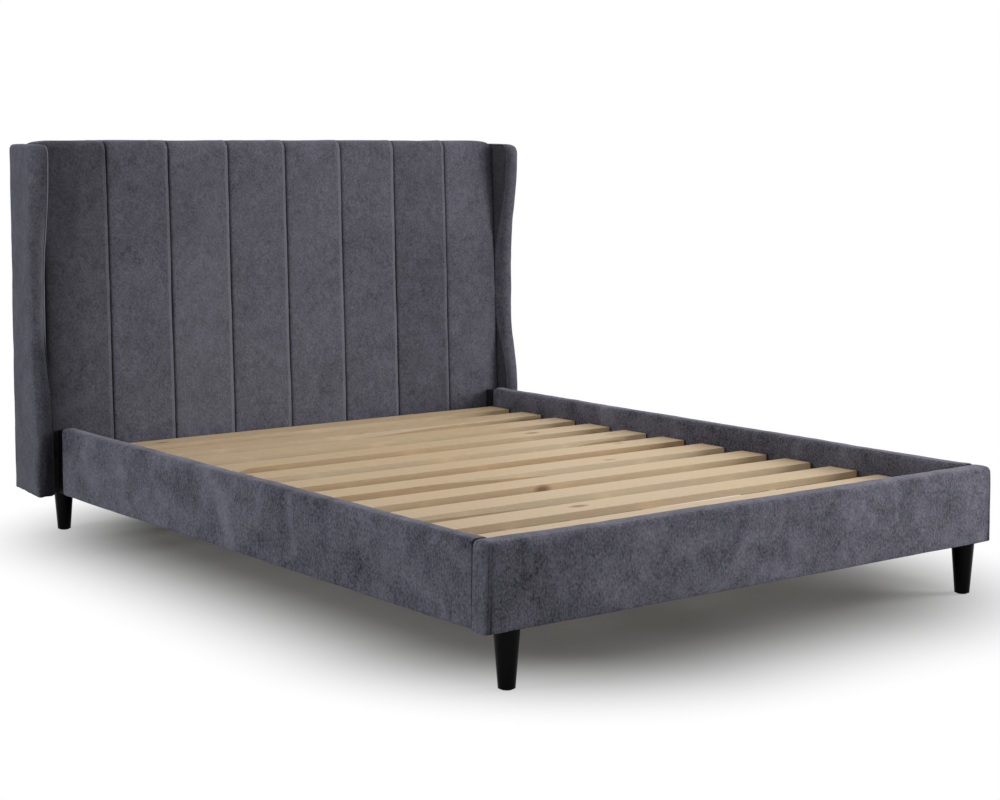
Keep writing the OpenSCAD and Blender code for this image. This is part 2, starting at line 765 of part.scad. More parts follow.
module slat_ledge() {
    difference() {
        translate([inner_x - ledge_w, ledge_start_y, ledge_z])
            cube([ledge_w, ledge_end_y - ledge_start_y, ledge_h]);
        for (y = ledge_screw_ys)
            rod_x(inner_x - ledge_w - 1, inner_x + 1, y, ledge_screw_z, screw_d / 2 + hole_gap);
    }
}

module slat(i) {
    color(pine_c) translate([-slat_l / 2, slat_y(i) - slat_w / 2, slat_z]) cube([slat_l, slat_w, slat_t]);
}

module slat_straps() {
    color(webbing_c) both_sides()
        translate([strap_x - strap_w / 2, slat_y(0) - slat_w / 2 + strap_inset, slat_z - strap_t])
            cube([strap_w, slat_run + slat_w - 2 * strap_inset, strap_t]);
}

module wood_screw(length) {
    cylinder(h = length, r = screw_d / 2);
    translate([0, 0, -screw_head_h]) cylinder(h = screw_head_h, r = screw_head_d / 2);
}

module wood_screws() {
    color(zinc_c) both_sides() {
        for (y = ledge_screw_ys)
            translate([inner_x - ledge_w, y, ledge_screw_z]) rotate([0, 90, 0])
                wood_screw(ledge_w + rail_pad_in + screw_grip);
        translate([hanger_screw_x, deck_y + steel_t, hanger_screw_z]) rotate([90, 0, 0])
            wood_screw(steel_t + rail_pad_in + screw_grip);
        translate([hanger_screw_x, bolt_y - steel_t, hanger_screw_z]) rotate([-90, 0, 0])
            wood_screw(steel_t + screw_grip);
    }
    color(zinc_c) for (y = centre_leg_ys, dy = [-centre_screw_y, centre_screw_y])
        translate([0, y + dy, beam_z - steel_t]) wood_screw(steel_t + screw_grip);
}

// Centre support

module centre_beam() {
    color(pine_c) difference() {
        translate([-beam_w / 2, deck_y + steel_t + fit, beam_z])
            cube([beam_w, bolt_y - deck_y - 2 * (steel_t + fit), beam_h]);
        for (y = centre_leg_ys, dy = [-centre_screw_y, centre_screw_y])
            translate([0, y + dy, beam_z - 1]) cylinder(h = screw_grip + 1, r = screw_d / 2);
    }
}

// A hanger for the beam's end: a back plate, a shelf and two cheeks
module beam_hanger() {
    difference() {
        union() {
            translate([-hanger_plate_w / 2, 0, beam_z - steel_t])
                cube([hanger_plate_w, steel_t, hanger_cheek_h + steel_t]);
            translate([-hanger_w / 2, 0, beam_z - steel_t])
                cube([hanger_w, steel_t + hanger_reach, steel_t]);
            for (side = [-1, 1])
                translate([side * (hanger_w - steel_t) / 2 - steel_t / 2, 0, beam_z - steel_t])
                    cube([steel_t, steel_t + hanger_reach, hanger_cheek_h + steel_t]);
        }
        for (side = [-1, 1])
            rod_y(side * hanger_screw_x, -1, steel_t + 1, hanger_screw_z, screw_d / 2 + hole_gap);
    }
}

module beam_hangers() {
    color(steel_c) {
        translate([0, deck_y, 0]) beam_hanger();
        translate([0, bolt_y, 0]) mirror([0, 1, 0]) beam_hanger();
    }
}

module centre_leg(i) {
    color(steel_c) translate([0, centre_leg_ys[i], 0]) difference() {
        union() {
            translate([-beam_w / 2, -centre_plate_l / 2, beam_z - steel_t])
                cube([beam_w, centre_plate_l, steel_t]);
            translate([0, 0, tube_floor_gap])
                cylinder(h = beam_z - steel_t - tube_floor_gap, r = tube_r);
        }
        translate([0, 0, tube_floor_gap - 1])
            cylinder(h = beam_z - steel_t - tube_floor_gap + 1, r = tube_r - tube_wall);
        for (dy = [-centre_screw_y, centre_screw_y])
            translate([0, dy, beam_z - steel_t - 1])
                cylinder(h = steel_t + 2, r = screw_d / 2 + hole_gap);
    }
}

module centre_leg_plugs() {
    color(plastic_c) for (y = centre_leg_ys) translate([0, y, tube_floor_gap]) difference() {
        union() {
            cylinder(h = plug_h, r = tube_r - tube_wall);
            translate([0, 0, -plug_lip]) cylinder(h = plug_lip, r = tube_r);
        }
        translate([0, 0, -plug_lip - 1])
            cylinder(h = plug_h + plug_lip + 2, r = bolt_d / 2 + thread_gap);
    }
}

module leveller_spindle(i) {
    color(zinc_c) translate([0, centre_leg_ys[i], spindle_z]) cylinder(h = leveller_l, r = bolt_d / 2);
}

module leveller_pad(i) {
    rim_h = leveller_pad_h / 3;
    color(plastic_c) translate([0, centre_leg_ys[i], 0]) difference() {
        union() {
            cylinder(h = rim_h, r = leveller_pad_d / 2);
            translate([0, 0, rim_h])
                cylinder(h = leveller_pad_h - rim_h, r1 = leveller_pad_d / 2 - 2, r2 = bolt_d);
        }
        translate([0, 0, spindle_z]) cylinder(h = leveller_pad_h, r = bolt_d / 2);
    }
}

// Legs

module leg(y) {
    color(gloss_c) translate([leg_x, y, 0]) difference() {
        translate([0, 0, glide_t])
            cylinder(h = leg_h - glide_t, r1 = leg_bottom_d / 2, r2 = leg_top_d / 2);
        translate([0, 0, leg_h - leg_bolt_in]) cylinder(h = leg_bolt_in + 1, r = bolt_d / 2);
    }
}

module leg_bolts() {
    color(zinc_c) both_sides() for (y = [foot_y + foot_leg_y, back_y - head_leg_y])
        translate([leg_x, y, leg_h - leg_bolt_in]) cylinder(h = leg_bolt_in + insert_l, r = bolt_d / 2);
}

module leg_glides() {
    color(plastic_c) both_sides() for (y = [foot_y + foot_leg_y, back_y - head_leg_y])
        translate([leg_x, y, 0]) cylinder(h = glide_t, r = glide_d / 2);
}

headboard_pad();
headboard_facing_board();
headboard_bolt_rail();
headboard_sill();
headboard_top_rail();
headboard_back_rail();
color(ply_c) mirror([1, 0, 0]) headboard_post();  // headboard_post_left
color(ply_c) headboard_post();  // headboard_post_right
color(ply_c) mirror([1, 0, 0]) headboard_rib();  // headboard_rib_left
color(ply_c) headboard_rib();  // headboard_rib_right
headboard_dust_cover();
color(ply_c) mirror([1, 0, 0]) wing_core();  // wing_core_left
color(ply_c) wing_core();  // wing_core_right
color(fabric_c) mirror([1, 0, 0]) wing_cover();  // wing_cover_left
color(fabric_c) wing_cover();  // wing_cover_right
color(pine_c) mirror([1, 0, 0]) side_rail_core();  // side_rail_core_left
color(pine_c) side_rail_core();  // side_rail_core_right
color(fabric_c) mirror([1, 0, 0]) side_rail_cover();  // side_rail_cover_left
color(fabric_c) side_rail_cover();  // side_rail_cover_right
rail_end_sleeves();
footboard_core();
footboard_cover();
mirror([1, 0, 0]) corner_bracket_foot();  // corner_bracket_foot_left
corner_bracket_foot();  // corner_bracket_foot_right
mirror([1, 0, 0]) corner_bracket_head();  // corner_bracket_head_left
corner_bracket_head();  // corner_bracket_head_right
frame_bolts();
threaded_inserts();
color(pine_c) mirror([1, 0, 0]) slat_ledge();  // slat_ledge_left
color(pine_c) slat_ledge();  // slat_ledge_right
wood_screws();
centre_beam();
beam_hangers();
centre_leg(0);  // centre_leg_1
centre_leg(1);  // centre_leg_2
centre_leg_plugs();
leveller_spindle(0);  // leveller_spindle_1
leveller_spindle(1);  // leveller_spindle_2
leveller_pad(0);  // leveller_pad_1
leveller_pad(1);  // leveller_pad_2
mirror([1, 0, 0]) leg(foot_y + foot_leg_y);  // leg_foot_left
leg(foot_y + foot_leg_y);  // leg_foot_right
mirror([1, 0, 0]) leg(back_y - head_leg_y);  // leg_head_left
leg(back_y - head_leg_y);  // leg_head_right
leg_bolts();
leg_glides();
slat_straps();
for (i = [0 : slats - 1]) slat(i);
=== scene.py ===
"""Looks of an upholstered double bed frame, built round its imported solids.

The headboard has sewn channels between two padded wings, the rails and footboard are
padded boards, and pine slats lie between them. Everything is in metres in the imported
frame: +Y towards the headboard, +Z up, +X to the right seen from the footboard.
"""

import json
import logging
import math
from dataclasses import dataclass, field
from enum import Enum
from functools import partial
from typing import Any, Callable, Iterable, Optional

import bmesh
import bpy
import numpy as np
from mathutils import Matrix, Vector, noise
from mathutils.kdtree import KDTree

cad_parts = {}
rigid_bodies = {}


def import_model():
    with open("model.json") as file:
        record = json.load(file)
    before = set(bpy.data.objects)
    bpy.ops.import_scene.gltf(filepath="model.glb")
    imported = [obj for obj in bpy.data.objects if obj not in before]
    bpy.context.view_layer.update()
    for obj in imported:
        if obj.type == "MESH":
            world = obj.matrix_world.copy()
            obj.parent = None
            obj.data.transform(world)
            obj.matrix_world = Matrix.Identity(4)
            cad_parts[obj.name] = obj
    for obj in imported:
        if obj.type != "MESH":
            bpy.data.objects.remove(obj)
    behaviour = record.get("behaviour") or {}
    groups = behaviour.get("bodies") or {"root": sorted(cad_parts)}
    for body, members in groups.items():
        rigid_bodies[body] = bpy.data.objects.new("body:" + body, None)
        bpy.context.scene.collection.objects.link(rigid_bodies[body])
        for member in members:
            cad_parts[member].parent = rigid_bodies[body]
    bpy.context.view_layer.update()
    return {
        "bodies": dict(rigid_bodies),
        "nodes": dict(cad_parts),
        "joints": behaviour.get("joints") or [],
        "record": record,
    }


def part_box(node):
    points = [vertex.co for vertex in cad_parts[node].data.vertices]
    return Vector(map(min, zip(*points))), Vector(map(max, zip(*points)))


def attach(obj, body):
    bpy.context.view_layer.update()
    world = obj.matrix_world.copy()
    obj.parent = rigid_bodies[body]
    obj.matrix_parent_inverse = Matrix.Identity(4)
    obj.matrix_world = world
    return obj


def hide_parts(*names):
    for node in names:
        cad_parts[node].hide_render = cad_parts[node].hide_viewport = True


Pair = tuple[float, float]
Triple = tuple[float, float, float]
Faces = list[tuple[int, ...]]
Tree = bpy.types.NodeTree
Socket = bpy.types.NodeSocket
Piece = bpy.types.Object

LOG = logging.getLogger("bed_frame")
BODY = "frame"
MM = 0.001
WAVE_PERIOD = 0.314  # metres between the waves of a wave texture at a scale of 1
SLATS = [f"slat_{i:02d}" for i in range(1, 13)]


class Side(Enum):
    """The two sides of the bed, as the sign of X."""

    LEFT = -1
    RIGHT = 1

    @property
    def word(self) -> str:
        """Return the side's name as the nodes spell it."""
        return self.name.lower()


class Grain(Enum):
    """The axis that a board's grain runs along, as its index."""

    X = 0
    Y = 1


def linear(hex_colour: str) -> tuple[float, float, float, float]:
    """Turn an sRGB hex colour into linear RGBA.

    Args:
        hex_colour: The colour as "#rrggbb".

    Returns:
        Red, green, blue and an alpha of 1.
    """
    parts = [int(hex_colour[i : i + 2], 16) / 255 for i in (1, 3, 5)]
    r, g, b = (p / 12.92 if p <= 0.04045 else ((p + 0.055) / 1.055) ** 2.4 for p in parts)
    return (r, g, b, 1.0)


def add_node(
    tree: Tree,
    kind: str,
    inputs: dict[Any, Any],
    output: Any = 0,
    **settings: Any,
) -> Optional[Socket]:
    """Add a shader node with its settings, values and links.

    Args:
        tree: The node tree.
        kind: The node's type name.
        inputs: Values by input name or index. A socket is linked, and a colour is in hex.
        output: The name or index of the output that is wanted.
        settings: Attributes of the node to set.

    Returns:
        That output, or None for a node that has no outputs.
    """
    node = tree.nodes.new(kind)
    for key, value in settings.items():
        setattr(node, key, value)
    for key, value in inputs.items():
        if isinstance(value, Socket):
            tree.links.new(value, node.inputs[key])
        else:
            node.inputs[key].default_value = linear(value) if isinstance(value, str) else value
    return node.outputs[output] if len(node.outputs) else None


def per_mm(size_mm: float) -> float:
    """Return the scale of a noise whose features have a size in millimetres."""
    return 1000 / size_mm


def wave_per_mm(period_mm: float) -> float:
    """Return the scale of a wave texture that repeats after a length in millimetres."""
    return WAVE_PERIOD * 1000 / period_mm


# Finishes


@dataclass(frozen=True)
class Finish:
    """A finish with a name, whose material is built at its first use."""

    name: str

    def material(self) -> bpy.types.Material:
        """Build the finish's material at its first use.

        Returns:
            The material, which every piece with this finish shares.
        """
        found = bpy.data.materials.get(self.name)
        if found:
            return found
        made = bpy.data.materials.new(self.name)
        made.use_nodes = True
        made.node_tree.nodes.clear()
        surface = self.shader(made.node_tree)
        add_node(made.node_tree, "ShaderNodeOutputMaterial", {"Surface": surface})
        return made

    def shader(self, tree: Tree) -> Socket:
        """Build the shader nodes; each finish has its own."""
        raise NotImplementedError


@dataclass(frozen=True)
class BrushedChenille(Finish):
    """Chenille velvet: polyester pile, brushed, in charcoal.

    The pile lies in patches, so the cloth is clouded at hand size, mottled at finger size
    and grained at the size of its tufts, and it glows at grazing angles.
    """

    shade: str = "#3d3d45"
    glow: str = "#6d6c76"
    # Painted shade, mixed in where a mesh's painted shading is above 0
    crease: str = "#161619"
    # Painted highlight, mixed in where a mesh's painted shading is below 0
    fold: str = "#85858e"
    cloud_mm: float = 95.0
    mottle_mm: float = 24.0
    tuft_mm: float = 5.5  # real tufts are about 1.5 mm, drawn coarser so that they show
    nap: float = 0.8  # the pile is brushed downwards, so that its marks are longer than wide
    sheen: float = 0.35
    weights: Triple = (0.55, 0.65, 1.65)  # of cloud, mottle and tuft

    def shader(self, tree: Tree) -> Socket:
        """Build cloud, mottle and tuft noises into colour and pile height, with painted shading.

        Args:
            tree: The material's node tree.

        Returns:
            The surface.
        """
        add = partial(add_node, tree)
        place = add("ShaderNodeTexCoord", {}, "Object")
        brushed = add("ShaderNodeMapping", {"Vector": place, "Scale": (1, 1, self.nap)})
        cloud = add(
            "ShaderNodeTexNoise",
            {"Vector": place, "Scale": per_mm(self.cloud_mm), "Detail": 2.0, "Distortion": 0.6},
        )
        mottle, tuft = (
            add(
                "ShaderNodeTexNoise",
                {"Vector": brushed, "Scale": per_mm(size), "Detail": detail, "Roughness": rough},
            )
            for size, detail, rough in ((self.mottle_mm, 3.0, 0.6), (self.tuft_mm, 2.0, 0.7))
        )
        pile_height = 0.5 - 0.5 * sum(self.weights)  # keeps the mean of the sum at a half
        for layer, weight in ((tuft, self.weights[2]), (mottle, self.weights[1])):
            values = {0: layer, 1: weight, 2: pile_height}
            pile_height = add("ShaderNodeMath", values, operation="MULTIPLY_ADD")
        values = {0: cloud, 1: self.weights[0], 2: pile_height}
        whole = add("ShaderNodeMath", values, operation="MULTIPLY_ADD", use_clamp=True)
        pile = add("ShaderNodeMix", {0: whole, 6: self.shade, 7: self.glow}, 2, data_type="RGBA")
        # Each mesh's painted shading: painted shade above 0, painted highlight below 0
        crease = add("ShaderNodeAttribute", {}, "Fac", attribute_name="crease")
        sewn = add("ShaderNodeMix", {0: crease, 6: pile, 7: self.crease}, 2, data_type="RGBA")
        highlight_share = add("ShaderNodeMath", {0: crease, 1: -1.0}, operation="MULTIPLY")
        colour = add("ShaderNodeMix", {0: highlight_share, 6: sewn, 7: self.fold}, 2, data_type="RGBA")
        bump = {"Strength": 0.55, "Distance": 1.1 * MM, "Height": pile_height}
        return add(
            "ShaderNodeBsdfPrincipled",
            {
                "Base Color": colour,
                "Roughness": 0.95,
                "Specular IOR Level": 0.05,
                "Sheen Weight": self.sheen,
                "Sheen Roughness": 0.42,
                "Sheen Tint": "#a9a8b4",
                "Normal": add("ShaderNodeBump", bump),
            },
        )


@dataclass(frozen=True)
class SpunbondCloth(Finish):
    """Polypropylene dust cloth, bonded at rows of small dots: matt black and papery."""

    colour: str = "#19191b"
    dot_colour: str = "#0c0c0d"
    dot_mm: float = 3.0  # real bonds are about 1 mm apart, drawn coarser so that they show
    clump_mm: float = 16.667  # the fibres lie denser in clumps of this size

    def shader(self, tree: Tree) -> Socket:
        """Build the bonded dots and the loose fibres between them.

        Args:
            tree: The material's node tree.

        Returns:
            The surface.
        """
        add = partial(add_node, tree)
        place = add("ShaderNodeTexCoord", {}, "Object")
        grid = {"Vector": place, "Scale": per_mm(self.dot_mm), "Randomness": 0.25}
        dots = add("ShaderNodeTexVoronoi", grid)
        clumps = {"Vector": place, "Scale": per_mm(self.clump_mm), "Detail": 5.0}
        fibres = add("ShaderNodeTexNoise", clumps)
        height = add("ShaderNodeMath", {0: dots, 1: fibres}, operation="MULTIPLY")
        shades = {0: height, 6: self.dot_colour, 7: self.colour}
        bump = {"Strength": 0.4, "Distance": 0.4 * MM, "Height": height}
        return add(
            "ShaderNodeBsdfPrincipled",
            {
                "Base Color": add("ShaderNodeMix", shades, 2, data_type="RGBA"),
                "Roughness": 0.85,
                "Specular IOR Level": 0.2,
                "Normal": add("ShaderNodeBump", bump),
            },
        )


@dataclass(frozen=True)
class PlanedPine(Finish):
    """Planed pine: pale early wood with darker late wood lines along the grain, and knots."""

    grain: Grain = Grain.X
    early: str = "#d9c6a6"
    late: str = "#b8966b"
    knot: str = "#7b4f2c"
    ring_mm: float = 11.0
    fibre_mm: float = 2.381  # real fibres are finer, drawn coarser so that they show
    stretch: float = 0.055  # rings and fibres run far along the grain
    knot_gaps_mm: Pair = (312.5, 142.86)  # along and across the grain
    rough: float = 0.55

    def along(self, length: float, width: float) -> list[float]:
        """Return scales for a pattern that is drawn out along the grain."""
        return [length if axis == self.grain.value else width for axis in range(3)]

    def shader(self, tree: Tree) -> Socket:
        """Build growth rings, fibres and knots, all drawn out along the grain.

        Args:
            tree: The material's node tree.

        Returns:
            The surface.
        """
        add = partial(add_node, tree)
        place = add("ShaderNodeTexCoord", {}, "Object")
        lengthwise = {"Vector": place, "Scale": self.along(self.stretch, 1.0)}
        drawn_out = add("ShaderNodeMapping", lengthwise)
        rings = add(
            "ShaderNodeTexWave",
            {
                "Vector": drawn_out,
                "Scale": wave_per_mm(self.ring_mm),
                "Distortion": 7.0,
                "Detail": 2.0,
                "Detail Scale": 0.35,
            },
            "Fac",
            bands_direction="Y" if self.grain is Grain.X else "X",
            wave_profile="SAW",
        )
        fibres = add(
            "ShaderNodeTexNoise",
            {
                "Vector": drawn_out,
                "Scale": per_mm(self.fibre_mm),
                "Detail": 3.0,
                "Roughness": 0.6,
            },
        )
        lines = add("ShaderNodeMath", {0: rings, 1: 0.75}, operation="MULTIPLY")
        values = {0: fibres, 1: 0.7, 2: -0.2}
        figure = add("ShaderNodeMath", values, operation="MULTIPLY_ADD", use_clamp=True)
        values = {0: figure, 1: 0.8, 2: lines}
        streaks = add("ShaderNodeMath", values, operation="MULTIPLY_ADD", use_clamp=True)
        wood = add("ShaderNodeMix", {0: streaks, 6: self.early, 7: self.late}, 2, data_type="RGBA")
        gaps = self.along(*(per_mm(gap) for gap in self.knot_gaps_mm))
        spread = add("ShaderNodeMapping", {"Vector": place, "Scale": gaps})
        near_knot = add("ShaderNodeTexVoronoi", {"Vector": spread, "Scale": 1.0})
        in_knot = add("ShaderNodeMapRange", {0: near_knot, 1: 0.05, 2: 0.115, 3: 0.85, 4: 0.0})
        knotty = {0: in_knot, 6: wood, 7: self.knot}
        bump = {"Strength": 0.25, "Distance": 0.3 * MM, "Height": streaks}
        return add(
            "ShaderNodeBsdfPrincipled",
            {
                "Base Color": add("ShaderNodeMix", knotty, 2, data_type="RGBA"),
                "Roughness": self.rough,
                "Specular IOR Level": 0.35,
                "Normal": add("ShaderNodeBump", bump),
            },
        )


@dataclass(frozen=True)
class BirchPlywood(Finish):
    """Sawn birch plywood: plies of turned grain, seen as stripes along its edges."""

    pale: str = "#d2b183"
    dark: str = "#a87f50"
    ply_mm: float = 3.0
    figure_mm: float = 6.25
    stretch: float = 0.08  # the figure runs along the grain of the face plies

    def shader(self, tree: Tree) -> Socket:
        """Build the plies across X and a fine figure along Z.

        Args:
            tree: The material's node tree.

        Returns:
            The surface.
        """
        add = partial(add_node, tree)
        place = add("ShaderNodeTexCoord", {}, "Object")
        drawn_out = add("ShaderNodeMapping", {"Vector": place, "Scale": (1, 1, self.stretch)})
        stripes = {"Vector": place, "Scale": wave_per_mm(2 * self.ply_mm)}
        plies = add("ShaderNodeTexWave", stripes, "Fac", bands_direction="X")
        grain = {"Vector": drawn_out, "Scale": per_mm(self.figure_mm), "Detail": 4.0}
        figure = add("ShaderNodeTexNoise", grain)
        values = {0: plies, 1: 0.5, 2: figure}
        mixed = add("ShaderNodeMath", values, operation="MULTIPLY_ADD", use_clamp=True)
        colour = add("ShaderNodeMix", {0: mixed, 6: self.pale, 7: self.dark}, 2, data_type="RGBA")
        surface = {"Base Color": colour, "Roughness": 0.7, "Specular IOR Level": 0.3}
        return add("ShaderNodeBsdfPrincipled", surface)


@dataclass(frozen=True)
class Mottled(Finish):
    """A plain surface with slight mottling: its colour, gloss and fine bumps vary a little.

    It stands for hardboard, powder coat, moulded nylon, zinc plate and lacquer, whose
    values below are typical for each.
    """

    dark: str
    light: str
    grain_mm: float
    bump_mm: float
    rough: float
    metallic: float = 0.0
    specular: float = 0.5

    def shader(self, tree: Tree) -> Socket:
        """Build the mottling from one noise.

        Args:
            tree: The material's node tree.

        Returns:
            The surface.
        """
        add = partial(add_node, tree)
        place = add("ShaderNodeTexCoord", {}, "Object")
        fine = {"Vector": place, "Scale": per_mm(self.grain_mm), "Detail": 3.0}
        grain = add("ShaderNodeTexNoise", fine)
        bump = {"Strength": 0.5, "Distance": self.bump_mm * MM, "Height": grain}
        shades = {0: grain, 6: self.dark, 7: self.light}
        return add(
            "ShaderNodeBsdfPrincipled",
            {
                "Base Color": add("ShaderNodeMix", shades, 2, data_type="RGBA"),
                "Metallic": self.metallic,
                "Roughness": self.rough,
                "Specular IOR Level": self.specular,
                "Normal": add("ShaderNodeBump", bump),
            },
        )


@dataclass(frozen=True)
class WovenWebbing(Finish):
    """Polypropylene webbing: flat yarns in a plain weave, with a glossier face than cotton."""

    yarn: str = "#e4ded0"
    gap: str = "#b5ac99"
    yarn_mm: float = 2.4  # real yarns are about 1.2 mm wide, drawn coarser so that they show

    def shader(self, tree: Tree) -> Socket:
        """Build warp and weft as two crossed waves.

        Args:
            tree: The material's node tree.

        Returns:
            The surface.
        """
        add = partial(add_node, tree)
        place = add("ShaderNodeTexCoord", {}, "Object")
        stripes = {"Vector": place, "Scale": wave_per_mm(self.yarn_mm)}
        warp, weft = (
            add("ShaderNodeTexWave", stripes, "Fac", bands_direction=across) for across in "XY"
        )
        weave = add("ShaderNodeMath", {0: warp, 1: weft}, operation="MULTIPLY")
        colour = add("ShaderNodeMix", {0: weave, 6: self.gap, 7: self.yarn}, 2, data_type="RGBA")
        bump = add("ShaderNodeBump", {"Strength": 0.6, "Distance": 0.4 * MM, "Height": weave})
        surface = {"Base Color": colour, "Roughness": 0.6, "Normal": bump}
        return add("ShaderNodeBsdfPrincipled", surface)


def seen(tree: Tree) -> Socket:
    """Tell what the camera sees from what only lights the bed.

    Args:
        tree: The node tree.

    Returns:
        A socket that is 1 for what the camera sees, directly or in a reflection.
    """
    add = partial(add_node, tree)
    rays = ("Is Glossy Ray", "Is Transmission Ray", "Is Camera Ray")
    glossy, through, direct = (add("ShaderNodeLightPath", {}, ray) for ray in rays)
    mirrored = add("ShaderNodeMath", {0: glossy, 1: through}, operation="MAXIMUM")
    return add("ShaderNodeMath", {0: direct, 1: mirrored}, operation="MAXIMUM")


@dataclass(frozen=True)
class StudioPaper(Finish):
    """Matt grey paper, which keeps the bed's shadow, has painted shadow round the bed and
    turns plain white far away.
    """

    tone: str = "#90908e"
    footprint: Pair = (0.26, 0.67)
    footprint_x: float = 0.04
    fade: Pair = (0.34, 0.94)

    def shader(self, tree: Tree) -> Socket:
        """Build the paper and its painted shadow, which fades with the distance from a patch
        under the bed.

        Args:
            tree: The material's node tree.

        Returns:
            The surface.
        """
        add = partial(add_node, tree)
        surface = {"Base Color": self.tone, "Roughness": 0.9, "Specular IOR Level": 0.1}
        matt = add("ShaderNodeBsdfPrincipled", surface)
        away = add("ShaderNodeTexCoord", {}, "Object")
        steps = (
            ("SUBTRACT", (self.footprint_x, 0, 0)),
            ("ABSOLUTE", (0, 0, 0)),
            ("SUBTRACT", (*self.footprint, 0)),
            ("MAXIMUM", (0, 0, 0)),
        )
        for operation, other in steps:
            away = add("ShaderNodeVectorMath", {0: away, 1: other}, operation=operation)
        away = add("ShaderNodeVectorMath", {0: away}, "Value", operation="LENGTH")
        # The painted shadow gives way to plain white between these two distances
        reach = {0: away, 1: self.fade[0], 2: self.fade[1], 3: 0.0, 4: 1.0}
        fade = add("ShaderNodeMapRange", reach, interpolation_type="SMOOTHSTEP")
        share = add("ShaderNodeMath", {0: fade, 1: seen(tree)}, operation="MULTIPLY")
        white = add("ShaderNodeEmission", {"Strength": 1.0})
        return add("ShaderNodeMixShader", {0: share, 1: matt, 2: white})


VELVET = BrushedChenille("brushed_chenille")
# On the footboard the pile is crushed by handling, which leaves stronger patches.
CRUSHED_VELVET = BrushedChenille(
    "crushed_chenille",
    shade="#2f2f36",
    glow="#797883",
    cloud_mm=85.0,
    mottle_mm=27.0,
    weights=(0.9, 0.66, 1.6),
)
# Along the rails, where people sit, the patches are wider and stronger still.
RUBBED_VELVET = BrushedChenille(
    "rubbed_chenille",
    shade="#2f2f36",
    glow="#7a7984",
    cloud_mm=140.0,
    mottle_mm=27.0,
    weights=(1.15, 0.5, 1.6),
)
DUST_CLOTH = SpunbondCloth("spunbond_cloth")
PINE_X = PlanedPine("planed_pine_across", Grain.X)
PINE_Y = PlanedPine("planed_pine_along", Grain.Y, "#d4c09f", "#b39067")
# Pine made black on the bolt rail: painted shade for the recess below the pad by the wings
SHADE_BLACK_PINE = PlanedPine("black_stained_pine", Grain.X, "#141313", "#0b0b0b", "#070707", rough=0.7)
PLYWOOD = BirchPlywood("birch_plywood")
# Hardboard: brown pressed fibre, smooth on one face
HARDBOARD = Mottled("hardboard", "#7d5a3a", "#9a744d", 4.0, 0.1, 0.7, 0.0, 0.3)
# Powder coat: satin black, with an orange-peel surface
POWDER_COAT = Mottled("powder_coat", "#0f0f10", "#19191b", 2.5, 0.12, 0.45)
# Zinc plate: bright, faintly spangled metal
ZINC_PLATE = Mottled("zinc_plate", "#a9adb2", "#cdd0d3", 5.0, 0.05, 0.32, 1.0)
# Moulded nylon: black, with a fine spark-eroded texture
MOULDED_NYLON = Mottled("moulded_nylon", "#0e0e0f", "#161618", 1.0, 0.12, 0.55)
# Gloss lacquer on turned beech: deep black with a smooth shine
GLOSS_LACQUER = Mottled("gloss_lacquer", "#010102", "#020203", 30.0, 0.02, 0.17, 0.0, 0.06)
WEBBING = WovenWebbing("woven_webbing")


# Measures along and round the pieces


def smooth_step(t: float) -> float:
    """Return a smooth rise from 0 to 1 over t from 0 to 1."""
    return (1 - math.cos(math.pi * min(1.0, max(0.0, t)))) / 2


def held(distance: float, firm: float, free: float) -> float:
    """Return 1 up to a firm distance from a seam, fading to 0 at the free distance."""
    return 1 - smooth_step((distance - firm) / (free - firm))


def rise(x: float, height: float, start: float, width: float) -> float:
    """Return a smooth rise to a height, over a width from its start."""
    return height * smooth_step((x - start) / width)


def hump(x: float, height: float, middle: float, width: float, power: float = 2) -> float:
    """Return a hump of a height at its middle, which fades out past its width."""
    return height * math.exp(-(((x - middle) / width) ** power))


def fading(distance: float, height: float, reach: float) -> float:
    """Return a height that fades by a constant share over each reach."""
    return height * math.exp(-distance / reach)


def round_off(distance: float, reach: float, depth: float) -> float:
    """Return how far an edge is drawn in near the end that it rounds into.

    Args:
        distance: How far from the end.
        reach: How far the rounding reaches.
        depth: How far the edge is drawn in at the end itself.

    Returns:
        How far the edge is drawn in.
    """
    if distance >= reach:
        return 0.0
    return depth * (1 - math.sqrt(max(0.0, 1 - (1 - distance / reach) ** 2)))


def between(start: float, end: float, parts: int) -> list[float]:
    """Return the places that split a stretch into equal parts, without its two ends."""
    return [start + (end - start) * i / parts for i in range(1, parts)]


def arc(centre: Pair, radius: float, start: float, turn: float, steps: int) -> list[Pair]:
    """Return the points of an arc in a plane, whose angles are in degrees."""
    angles = [math.radians(start + turn * i / steps) for i in range(steps + 1)]
    return [(centre[0] + radius * math.cos(a), centre[1] + radius * math.sin(a)) for a in angles]


# Meshes


def loft(rings: int, points: int, closed: bool = True, capped: bool = False) -> Faces:
    """Join neighbouring rings of points with quads.

    Args:
        rings: Number of rings.
        points: Points in each ring.
        closed: Whether each ring's last point joins its first.
        capped: Whether the first and the last ring are faces too.

    Returns:
        The faces as indices into the rings laid end to end.
    """
    faces: Faces = []
    for i in range(rings - 1):
        low, high = i * points, (i + 1) * points
        for k in range(points if closed else points - 1):
            n = (k + 1) % points
            faces.append((low + k, low + n, high + n, high + k))
    if capped:
        faces += [tuple(range(points)), tuple(range((rings - 1) * points, rings * points))]
    return faces


def add_object(name: str, data: Any) -> Piece:
    """Add an object to the scene.

    Args:
        name: The object's name.
        data: Its mesh, lamp or camera.

    Returns:
        The new object.
    """
    made = bpy.data.objects.new(name, data)
    bpy.context.scene.collection.objects.link(made)
    return made


